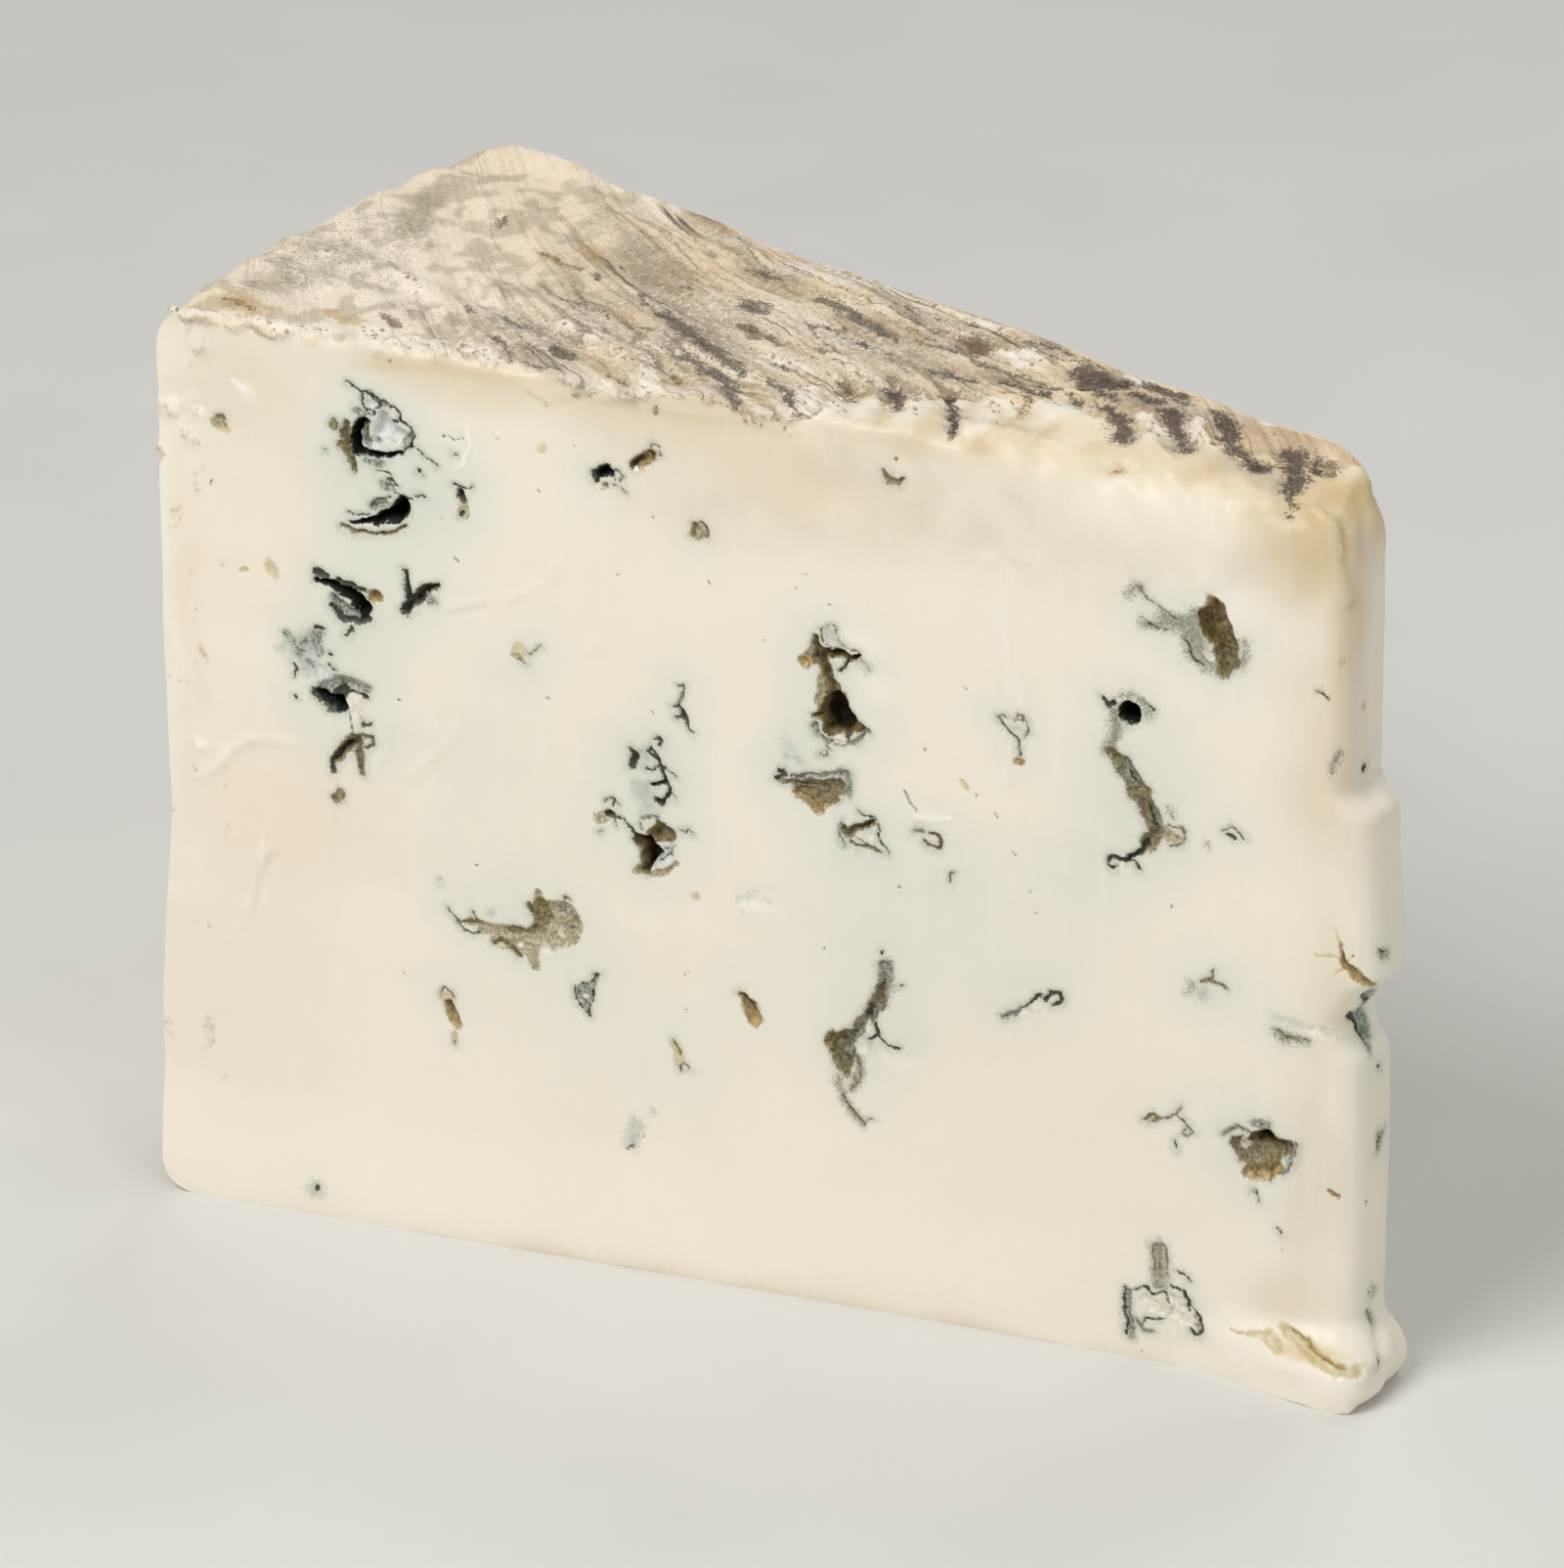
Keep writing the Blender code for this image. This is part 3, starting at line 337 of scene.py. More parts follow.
    # The two pockets, high right, with the needle's hole.
    ("amber", 1.7, 0.9, (109.8, 82, 0.6), (109.9, 80.6, 1.3), (110.6, 79.2, 1.6), (111.2, 78, 1.2)),
    ("olive", 1.4, 1.2, (111.2, 77.2, 1.3), (111.4, 76, 1.2), (111.1, 74.9, 0.7)),
    ("hollow", 1.6, 0.5, (109, 80.4), (109.2, 79), (109.9, 78)),
    ("curd", 0.3, 0.5, (109.5, 76.4), (109.7, 76)),
    ("moss", 0.3, 0.7, (108.2, 80.2, 0.6), (107.6, 78.6, 1.1), (108.2, 76.8, 0.9), (109.6, 75.2, 0.6)),
    ("moss", 0.2, 0.7, (107.4, 79.2, 0.9), (105.4, 79.2), (103.8, 78.6, 0.4), (102.8, 78.4, 0.25)),
    ("olive", 0.2, 0.1, (106.2, 79.6), (105, 80.2), (103.6, 81), (102.4, 82.3)),
    ("moss", 0.1, 0.3, (102.2, 82.3), (101.4, 81.4)),
    ("crust", 0.2, 0.09, (103, 79.1), (104.3, 78.4), (105.8, 78.1)),
    ("crust", 0.2, 0.12, (107.2, 77.2), (108, 75.8), (109.2, 74.9)),
    ("moss", 0.2, 0.25, (113.1, 78.2), (113.4, 77), (112.9, 75.8)),
    ("moss", 0.3, 0.8, (108.4, 77.6), (107.2, 78.8)), ("void", 6, 1.2, (101.8, 69)),
    ("crust", 0.4, 0.2, (99, 70.3), (99.6, 69.5), (100.3, 69.9)),
    ("moss", 0.2, 0.22, (100.8, 70.7), (102, 71.1), (103.2, 70.4), (103.8, 69.2)),
    ("crust", 0.2, 0.1, (103.2, 70.6), (104.2, 69.6)),
    ("moss", 0.4, 0.5, (100.4, 69), (100.4, 67.4, 0.6), (100.1, 65.9), (100, 64.8, 0.6)),
    ("olive", 0.8, 0.6, (100, 64.8, 0.6), (101.3, 63.5, 1), (102.2, 62.4, 0.8), (102.9, 61, 1),
     (103.8, 61.3, 0.4)),
    ("olive", 0.9, 0.6, (102.9, 61, 0.9), (103.7, 59.4, 0.9), (104.5, 58.2, 0.8), (104.7, 57, 0.8),
     (103.8, 55.6, 0.6)), ("sponge", 0.3, 0.7, (105.9, 57.1), (106.8, 56.7, 0.5)),
    ("olive", 0.2, 0.09, (106, 58), (107.2, 57.9), (107.6, 57), (107.3, 56.1), (106.2, 55.9)),
    ("fuzz", 0.3, 0.3, (101, 63.9), (102.4, 61.6)), ("fuzz", 0.4, 0.4, (104.8, 58), (105.2, 56.9)),
    ("crust", 0.5, 0.14, (101.6, 62.9), (102.3, 62)),
    ("crust", 0.5, 0.12, (103.6, 59.6), (104.2, 58.2), (104.6, 57)),
    ("crust", 0.6, 0.24, (103.8, 55.6), (102.8, 54.7), (102.1, 53.9)),
    ("crust", 0.8, 0.36, (102, 53.6), (101, 53.4), (100.2, 53.7, 0.18)),
    ("crust", 0.5, 0.14, (100, 53.6), (99.9, 52.8), (100.6, 52.6)),
    ("crust", 0.5, 0.14, (102.5, 53.6), (103, 52.7)), ("curd", 0.1, 0.3, (101.2, 52.8)),
    ("moss", 0.1, 0.2, (106, 59.7), (106.3, 59.2)),
    ("olive", 0.2, 0.12, (111.4, 58.2), (112.2, 58.9), (113, 58.4), (113.6, 57.9)),
    ("crust", 0.3, 0.22, (112, 57.9), (112.6, 57.8)), ("moss", 0.1, 0.15, (109.8, 56.7)),
    ("honey", 0.15, 0.35, (121.8, 73.7)), ("olive", 0.1, 0.12, (121.8, 73.5), (120.8, 74.4)),
    ("moss", 0.1, 0.15, (120.8, 74.4)), ("moss", 0.2, 0.3, (123.5, 68), (122.4, 66.4)),
    ("crust", 0.4, 0.4, (127.9, 65.4)), ("honey", 0.1, 0.7, (125, 83.1)),
    ("honey", 0.1, 0.5, (123.7, 77.5)), ("honey", 0.1, 0.6, (127.4, 71.9)),
    # Down the tip's edge and round it.
    ("amber", 0.7, 0.4, (123.6, 48.6, 0.18), (123.8, 47.6, 0.3), (124.2, 46.4, 0.5), (125.2, 45.4, 0.6),
     (126.4, 44.7, 0.45), (127.8, 44.2, 0.35)), ("honey", 0.1, 0.12, (121, 47), (123.6, 47)),
    ("honey", 0.1, 0.12, (123, 49.8), (123.8, 48)), ("honey", 0.1, 0.14, (122.8, 45.2), (124, 46)),
    ("amber", 0.1, 0.09, (125, 47.6), (124.4, 46.6)), ("moss", 0.2, 0.35, (128.6, 47.4), (129.6, 47)),
    ("crust", 0.3, 0.14, (128.4, 47.8), (129.4, 47.5)),
    ("fuzz", 0.4, 0.8, (127.6, 42.6), (129, 41.6), (127.4, 40.2), (128.2, 39), (128.7, 37.6),
     (128.8, 36.4, 0.5)), ("crust", 0.5, 0.35, (126.8, 42.6), (127.6, 42), (128.8, 40.8)),
    ("crust", 0.5, 0.35, (125.6, 40.2), (126.8, 39.7), (127.8, 38.2), (128.4, 36.8, 0.2)),
    ("curd", 0.2, 0.4, (120.6, 38.9), (122, 38.7, 0.7), (123.8, 38.4, 0.55)),
    ("veil", 0.1, 0.25, (117, 39.6), (119.6, 39.2)),
    ("moss", 0.2, 0.35, (117, 38, 0.25), (118.4, 37.8, 0.4), (120, 37.6, 0.35)),
    ("olive", 0.2, 0.11, (117.2, 38.3), (118.4, 38), (119.4, 37.5), (120.8, 37.8)),
    ("olive", 0.2, 0.09, (118, 37.3), (118.9, 38.2)),
    ("olive", 0.2, 0.2, (109.5, 41.9), (110.6, 42.6), (111.9, 41.9)), ("veil", 0.1, 0.8, (109.8, 40.6)),
    ("olive", 0.2, 0.1, (110.6, 42.4), (110.9, 43.4)), ("moss", 0.1, 0.25, (108.4, 40.9), (108.4, 41.6)),
    ("crust", 0.4, 0.25, (130.1, 33.9)), ("moss", 0.3, 0.4, (130.4, 26.6), (130.3, 25.4)),
    ("crust", 0.3, 0.14, (131.4, 26.9), (130.3, 25.4)),
    ("olive", 0.3, 0.12, (129.2, 9.8), (129.8, 10.3), (130.4, 9.8), (129.9, 9.2)),
    ("fuzz", 0.3, 0.4, (129.2, 8), (129.6, 6.8)), ("crust", 0.4, 0.3, (128.8, 4.2)),
    ("olive", 0.3, 0.14, (103.9, 26.3), (104.8, 26.9), (105.2, 26.3), (104.4, 26)),
    ("olive", 0.3, 0.11, (105.3, 26.4), (106.4, 26.9), (107.4, 27.3), (107.7, 28.3)),
    ("olive", 0.3, 0.11, (107.4, 27.2), (108.2, 26.8), (108.8, 26.3)),
    ("olive", 0.3, 0.11, (108, 25.8), (108.6, 26.4), (109.2, 25.8), (108.6, 25.2), (107.9, 25.6)),
    ("crust", 0.2, 0.1, (107.4, 24.6), (107.3, 23.7)), ("sponge", 0.2, 0.25, (104.4, 26.5), (105.6, 26.7)),
    ("veil", 0.1, 0.4, (108.6, 25.8)),
    ("olive", 1, 0.8, (113.4, 25.4, 0.7), (115, 24.6, 1.4), (116.8, 25.4, 1.6), (118.6, 25.8, 0.8)),
    ("amber", 0.8, 0.7, (114.9, 22.6, 0.8), (116.6, 22.8, 0.9), (117.6, 23.6, 0.7)),
    ("hollow", 2.3, 0.8, (115.6, 26.2), (116.6, 26.6, 0.9), (117.6, 26, 0.6)),
    ("fuzz", 0.3, 0.3, (112.2, 26.2), (113.6, 27.2), (114.6, 26.8)),
    ("fuzz", 0.3, 0.45, (115.4, 28), (116.6, 27.8)),
    ("fuzz", 0.3, 0.22, (119.8, 26.4), (119.3, 24.6), (118.2, 22.8)),
    ("curd", 0.3, 0.5, (114.1, 25.2), (114.4, 25.5)),
    ("crust", 0.3, 0.09, (113.5, 25.7), (114.2, 26.1), (115, 25.7)),
    ("olive", 0.2, 0.08, (116.2, 25), (115.4, 22)), ("olive", 0.2, 0.08, (117, 25), (117, 22)),
    ("crust", 0.2, 0.08, (118.4, 25.4), (119.2, 23.8)), ("crust", 0.2, 0.1, (115.4, 20.7), (115.9, 19.6)),
    ("crust", 0.2, 0.08, (115, 20.3), (115.6, 20.1)), ("amber", 0.3, 0.22, (123, 21.9), (124, 21.2)),
    ("crust", 0.2, 0.11, (118, 16.9), (118.2, 16.3)), ("crust", 0.1, 0.08, (118.4, 14.7)),
    ("honey", 0.2, 0.3, (128.3, 20.1)), ("crust", 0.1, 0.12, (128.3, 20.2)),
    # The curdy pocket over the lip.
    ("moss", 0.5, 0.6, (105.7, 12.4), (105.8, 10.8, 0.5), (105.9, 9.2, 0.7)),
    ("olive", 0.2, 0.08, (105, 12.7), (105.2, 10.8), (105.3, 9.4)),
    ("olive", 0.2, 0.1, (105, 12.8), (105.8, 13.1), (106.5, 12.6), (106.6, 10.6), (106.8, 9.6)),
    ("fuzz", 0.4, 0.4, (102.7, 7.2), (102.6, 5.4), (102.8, 3.4), (103.1, 2.3)),
    ("crust", 0.4, 0.14, (102.3, 7.5), (102.3, 5), (102.5, 2.5)),
    ("curd", 0.3, 0.9, (104.3, 6.9, 0.6), (105, 6.1, 0.9), (106.6, 5.7), (108.2, 5.2, 0.8),
     (109.4, 4.9, 0.5)), ("curd", 0.3, 0.6, (107.2, 7.4), (108.2, 6.4)),
    ("crust", 0.5, 0.13, (103.2, 7.6), (104.4, 8), (105, 7.2), (106.4, 7.6), (107, 6.7)),
    ("fuzz", 0.2, 0.35, (105.2, 8.5), (106.2, 8.2)),
    ("crust", 0.4, 0.1, (103.8, 3.6), (104.4, 4.5), (105.6, 4.6), (106.8, 5.3), (107.5, 6.4)),
    ("fuzz", 0.3, 0.28, (103.4, 4.2), (104.2, 3.3), (105.2, 3.4)),
    ("crust", 0.5, 0.15, (107, 8.6), (108.2, 8.2), (109, 7.1), (108.8, 6.2)),
    ("crust", 0.5, 0.14, (109, 6.9), (109.9, 5.7), (110.5, 4.4), (109.8, 3.7), (109.2, 4.5)),
    ("fuzz", 0.3, 0.25, (109.5, 5.6), (110.3, 4.3)),
    ("crust", 0.2, 0.11, (107.6, 10.4), (108.4, 9.9), (109.1, 9.3)), ("crust", 0.4, 0.35, (15.9, 2.9)),
    ("veil", 0.1, 0.9, (15.8, 2.9)),
    # The torn edge over the lip, and its own crack, whose honey and amber are partly painted shade in the
    # crack.
    ("honey", 0.15, 0.2, (113.6, 5.2), (115.6, 5.4), (117.6, 5.8)),
    ("honey", 0.2, 0.6, (117.4, 5.6), (118.6, 5)),
    ("honey", 0.5, 0.5, (119, 6.4), (121, 6), (122.4, 5.3), (123.8, 4.7), (125.4, 4.4), (127.2, 4.3)),
    ("amber", 0.3, 0.1, (119.6, 6.8), (121.4, 6.3), (122.8, 5.3), (124, 4.9), (126, 4.7)),
    # Small white flecks: those high at the left edge are fat, the rest lie along ridges and are painted
    # highlights on them.
    ("fleck", 0, 0.5, (1.6, 86.3)), ("fleck", 0, 0.45, (4.5, 85.7)), ("fleck", 0, 0.3, (2.5, 83)),
    ("fleck", 0, 0.4, (3.6, 49.7), (4.2, 49.9)), ("fleck", 0, 0.1, (6.2, 49), (6.8, 49.9)),
    ("fleck", 0, 0.14, (10.4, 39.4), (10.5, 40.8)), ("fleck", 0, 0.12, (80, 54.4), (83.6, 54.9)),
    ("fleck", 0, 0.35, (8.3, 89.3), (9.4, 88.6)),
    ("fleck", 0, 0.16, (33.2, 88), (33.4, 86.5), (32.8, 84.6), (32, 83.8)),
    ("fleck", 0, 0.3, (62.4, 41.6), (64.4, 41.6)),
    ("veil", 0, 0.2, (61.6, 42.6), (63.2, 43.4), (64.6, 42.9)),
)
# Short nicks of mould: distance from the rim and height.
NICKS = (
    (5.7, 78.7), (25.2, 58.1), (30.3, 78.2), (44.6, 87.8), (40.7, 82.6), (52.7, 81.8), (49, 75),
    (58.2, 75.9), (36.5, 87.5), (31.9, 74), (32.6, 73.6), (41.3, 60.9), (52, 61.2), (51, 62), (85.1, 69.2),
    (64.2, 70.7), (64.9, 74.9), (71.3, 75.5), (67.6, 76.4), (68.2, 78.2), (81, 62), (86.3, 57.6),
    (88.4, 56), (90.3, 52.1), (83.8, 48.8), (92.1, 48.5), (92.8, 46.5), (78.6, 46.8), (67.1, 41.7),
    (70.6, 38.9), (25.5, 27.8), (56.1, 33.5), (55.6, 29.4), (33.7, 41.3), (29.5, 39), (106.5, 49.6),
    (77.5, 91.3), (100.1, 93.9), (77.5, 90), (76.9, 89.2), (127.2, 4.2), (104, 1),
)


def smooth(low, high, value):
    """Ease from 0 at low to 1 at high."""
    t = np.clip((value - low) / (high - low), 0.0, 1.0)
    return t * t * (3.0 - 2.0 * t)


def bell(centre, half, value):
    """Ease from 1 at the centre to 0 a half width away."""
    return 1.0 - smooth(0.0, half, abs(value - centre))


def band(low, high, ramp, value):
    """1 between low and high, easing to 0 over a ramp on each side of both."""
    return smooth(low - ramp, low + ramp, value) - smooth(high - ramp, high + ramp, value)


def grain(points, size, shift=0.0):
    """Smooth noise from -1 to 1 at points, its lumps about size across."""
    return np.array([noise.noise(p) for p in (points / size + shift).tolist()])


def rim_at(z):
    """Radius of the rim at a height."""
    bulge = RIM_BULGE * bell(RIM_BULGE_HEIGHT, WHEEL_HEIGHT / 2, z)
    waist = RIM_WAIST * bell(RIM_WAIST_HEIGHT, RIM_WAIST_HALF, z)
    return WHEEL_RADIUS + bulge - waist


def tip_at(z):
    """Radius at which the broken tip ends at a height."""
    lean = TIP_LEAN * smooth(TIP_LEAN_START * WHEEL_HEIGHT, TIP_LEAN_FULL * WHEEL_HEIGHT, z)
    flap = FLAP_REACH * band(FLAP_LOW, FLAP_HIGH, TEAR_RAMP, z)
    notch = NOTCH_DEPTH * band(NOTCH_LOW, NOTCH_HIGH, TEAR_RAMP, z)
    return TIP_RADIUS + lean - flap + notch


def round_corner(across, up, radius):
    """Pull a square corner, whose arc is centred at 0, 0, on to the arc."""
    inside = (across <= 0.0) | (up <= 0.0)
    reach = np.maximum(across, up)
    far = np.where(inside, 1.0, np.hypot(across, up))
    scale = 1.0 + (reach / far - 1.0) * np.minimum(reach / radius, 1.0)
    scale = np.where(inside, 1.0, scale)
    return across * scale, up * scale


def plain_place(share):
    """Place on the plain wedge of points given by their shares u, w and t."""
    u, w, t = share.T
    z = w * WHEEL_HEIGHT
    inner, outer = tip_at(z), rim_at(z)
    radius = inner + u * (outer - inner)
    corners = (
        (outer, 1, WHEEL_HEIGHT, 1, RIM_SHOULDER),
        (outer, 1, 0.0, -1, RIM_HEEL),
        (inner, -1, WHEEL_HEIGHT, 1, TIP_SHOULDER),
        (inner, -1, 0.0, -1, TIP_HEEL),
    )
    for edge_r, side_r, edge_z, side_z, corner in corners:
        centre_r = edge_r - side_r * corner
        centre_z = edge_z - side_z * corner
        across, up = round_corner((radius - centre_r) * side_r, (z - centre_z) * side_z, corner)
        radius = centre_r + side_r * across
        z = centre_z + side_z * up
    turn = t * WEDGE_ANGLE
    return np.stack([-radius * np.cos(turn), radius * np.sin(turn), z], axis=1)


def rind_relief(x, y):
    """Height of the top rind over its mean level."""
    along = x * math.cos(CLOTH_RIDGE_TURN) + y * math.sin(CLOTH_RIDGE_TURN)
    across = y * math.cos(CLOTH_RIDGE_TURN) - x * math.sin(CLOTH_RIDGE_TURN)
    flat = np.zeros(len(x))
    sway = grain(np.stack([along, across, flat], axis=1), RIND_WAVE_LENGTH)
    ridge = np.sin(math.tau * (across / CLOTH_RIDGE_SPACING + sway))
    wave = grain(np.stack([x, y, flat], axis=1), RIND_WAVE_LENGTH)
    return RIND_WAVE * wave + CLOTH_RIDGE * ridge


def settle(points):
    """Move points of the plain wedge to their places on the worn, uneven one."""
    x, y, z = points.T.copy()
    # The two upright corners of the tip.
    centre_x = -tip_at(z) - TIP_NOSE
    along, out = round_corner(x - centre_x, TIP_NOSE - y, TIP_NOSE)
    x, y = centre_x + along, TIP_NOSE - out
    back = (math.sin(WEDGE_ANGLE), math.cos(WEDGE_ANGLE))
    beyond = x * back[0] + y * back[1] + TIP_NOSE
    along, out = round_corner(x - centre_x, beyond, TIP_NOSE)
    x = centre_x + along
    y = y + (out - beyond) * back[1]
    from_rim = WHEEL_RADIUS - np.hypot(x, y)
    turn = np.clip(np.arctan2(y, -x) / WEDGE_ANGLE, 0.0, 1.0)
    # The worn front top edge.
    worn = smooth(WORN_START, WORN_FULL, from_rim)
    radius = CUT_EDGE_RADIUS + worn * (WORN_RADIUS - CUT_EDGE_RADIUS)
    inward, up = round_corner(radius - y, z - (WHEEL_HEIGHT - radius), radius)
    y = radius - inward
    z = WHEEL_HEIGHT - radius + up
    # The lip at the foot of the front face.
    lip = smooth(LIP_START, LIP_FULL, from_rim) * (1.0 - smooth(*LIP_EASE, z))
    y = y - LIP_REACH * lip * (1.0 - smooth(0.0, 1.0, turn))
    x = x + LIP_SIDE * lip
    # The foot that spreads towards the rim.
    foot = (1.0 - smooth(0.0, FOOT_HEIGHT, z)) * (1.0 - smooth(0.0, FOOT_END, from_rim))
    y = y - FOOT_REACH * foot * (1.0 - smooth(0.0, FOOT_TURN, turn))
    # Uneven cuts, straight at the very base.
    lift = smooth(0.0, CUT_WAVE_LIFT, z / WHEEL_HEIGHT)
    wave = grain(np.stack([x, z, CUT_WAVE_TURN * turn], axis=1), CUT_WAVE_LENGTH)
    y = y + CUT_WAVE * lift * wave * abs(1.0 - 2.0 * turn)
    # The top rind, fading out down into the body.
    crest = RIM_CREST * (1.0 - smooth(0.0, RIM_CREST_WIDTH, from_rim))
    z = z + (crest + rind_relief(x, y)) * smooth(RELIEF_START, 1.0, z / WHEEL_HEIGHT)
    return np.stack([x, y, z], axis=1)


def spots_of(mark):
    """A mark's spots as rows of distance from the rim, height and radius."""
    kind, depth, radius, *spots = mark
    rows = [spot if len(spot) == 3 else (*spot, radius) for spot in spots]
    return np.array(rows if len(rows) > 1 else rows * 2)


def mark_gap(face, spots):
    """Distance from places on a cut face to a mark's outline, less than 0 inside it."""
    gap = np.full(len(face), 1e3)
    for start, end in zip(spots, spots[1:]):
        run = end[:2] - start[:2]
        share = np.clip(((face[:, :2] - start[:2]) @ run) / max(run @ run, 1e-9), 0.0, 1.0)
        near = start[:2] + share[:, None] * run
        off = np.hypot(face[:, 0] - near[:, 0], face[:, 1] - near[:, 1])
        if face.shape[1] > 2:
            off = np.hypot(off, face[:, 2])
        gap = np.minimum(gap, off - (start[2] + share * (end[2] - start[2])))
    return gap


# How fine the skin is, in millimetres.
FINE_EDGE = 0.38
PLAIN_EDGE = 1.8
TOP_EDGE = 0.72
RIM_EDGE = 1.9
RIDGE_EDGE = 0.6
BACK_EDGE = 3.0
BACK_FINE_EDGE = 0.8
TIP_EDGE = 1.0
TIP_FINE_EDGE = 0.6
BASE_EDGE = 4.0
FINE_REACH = 0.3  # the finest mesh goes this far beyond a mark's outline
EDGE_GROWTH = 0.7  # how fast its edges grow beyond that, and away from a ridge
RIDGE_GROWTH = 0.5
NEAR_REACH = 4.0  # nothing farther from a mark than this is measured
FAR_OFF = 9.0
FIRST_CELLS = (40, 30, 12)  # cells of the first coarse box: tip to rim, base to top, front to back
REFINE_PASSES = 6
SHARP_TURN = math.radians(70.0)  # skin that turns more than this at an edge is not smoothed over

# Relief of the top rind, whose streaks dried in from the rim's far corner to the front edge, and of
# the paste.
STREAK_LENGTH = 13.0
STREAK_SPACING = 2.3
STREAK_DEPTH = 0.4
CRUMB_RELIEF = 0.24
CRUMB_SIZE = 1.3
CRUST_BULGE = 0.6
STREAKS_GROW = (18.0, 42.0)  # distances from the rim where the streaks start and are whole
STREAKS_FADE = (92.0, 80.0)  # and where they have gone and are still whole, towards the tip
CALM_WIDTH = 5.0  # the relief fades out this far in front of the back edge
BLOOM_HEIGHT = 0.3
SMUT_DEPTH = 0.25
UMBER_DEPTH = 0.2
RIM_RELIEF = 0.12
RIM_LUMPS = 1.6
RIM_GRIT = 0.45
PASTE_WAVE = 0.16
PASTE_WAVE_LENGTH = 9.0
PASTE_RIPPLE = 0.05
PASTE_RIPPLE_LENGTH = 2.6
LIP_LUMPS = 0.4
LIP_LUMP_SIZE = 2.6
LIP_LUMPS_END = (8.0, 5.0)
SCALLOP_AT = 0.7  # the crust bulges most this far in from the rind's edge
SCALLOP_WIDTH = 0.9
SCALLOP_SIZE = 1.8
CRUST_PALENESS = 0.85

# The folds of the worn front edge, in millimetres.
FOLD_DEPTH = 0.5
FOLD_WIDTH = 1.3
FOLD_LOBES = 0.45
FOLD_LOBE_SIZE = 2.6
FOLD_SLOPE = 2.0  # they run down the edge by this much for each along
FOLD_STRETCH = 4.0
FOLDS_START = 66.0
FOLDS_FULL = 72.0
FOLDS_BACK = (14.0, 10.0)
WORN_BACK = 12.0  # the worn edge ends this far behind the front cut
WORN_DROP = 12.0  # and this far down it
FLAT_TOP = 2.5

# The mottled rind of the rim, in millimetres: grey blotches, fading in from the rim, pale dust, fading
# up the rim, and a brown foot.
BLOTCH_SIZE = 6.0
BLOTCH_GRAIN = 0.9
BLOTCH_GRAIN_SIZE = 1.9
BLOTCH_AMOUNT = 0.55
BLOTCH_START = 26.0
BLOTCH_END = 50.0
DUST_SIZE = 7.0
DUST_AMOUNT = 0.6
UPPER_RIM = 12.0
FOOT_RIND_TOP = 6.0
FOOT_RIND_FULL = 1.0

# Outlines and tints wander by noise of these sizes, as far as these reaches, in millimetres.
WARP_SIZE = 1.5
FINE_WARP_SIZE = 0.5
WARP_REACH = 0.34
FINE_WARP_REACH = 0.16
TOP_WARP_REACH = 0.7
TOP_FINE_WARP_REACH = 0.35
TOP_TINT_WARP_REACH = 1.5
TINT_WARP_SIZE = 9.0
TINT_WARP_REACH = 2.0
CRUST_WIDTH = 1.8  # the pale crust that the rind ends in, along the front edge

# Where the rind starts on the front of the wedge: distance from the rim, and distance behind the
# square top edge, leaning down over it where it is less than 0.
RIND_EDGE = (
    (0, 0.2), (6, 0.4), (12, -0.8), (17, -0.4), (20, 0.6), (23.5, -0.7), (26, 1.2), (29, -0.4), (33, 0.6),
    (36, -0.2), (38.5, 1.2), (41, -0.3), (44, -1.2), (47, -1.8), (50, -2.6), (53, -1.4), (58, -1.2),
    (61, -1.4), (64, -2.8), (67.5, -2.8), (69.5, -1), (70.5, 4), (73, 5.4), (76, 4.6), (78, 7.4), (82, 9.4),
    (86, 11.2), (92, 11.6), (96, 8.6), (99, 8), (102, 9.6), (105, 8), (108, 7.6), (111, 5), (114, 3.4),
    (118, 2.6), (121, 6.4), (127, 8.6),
)

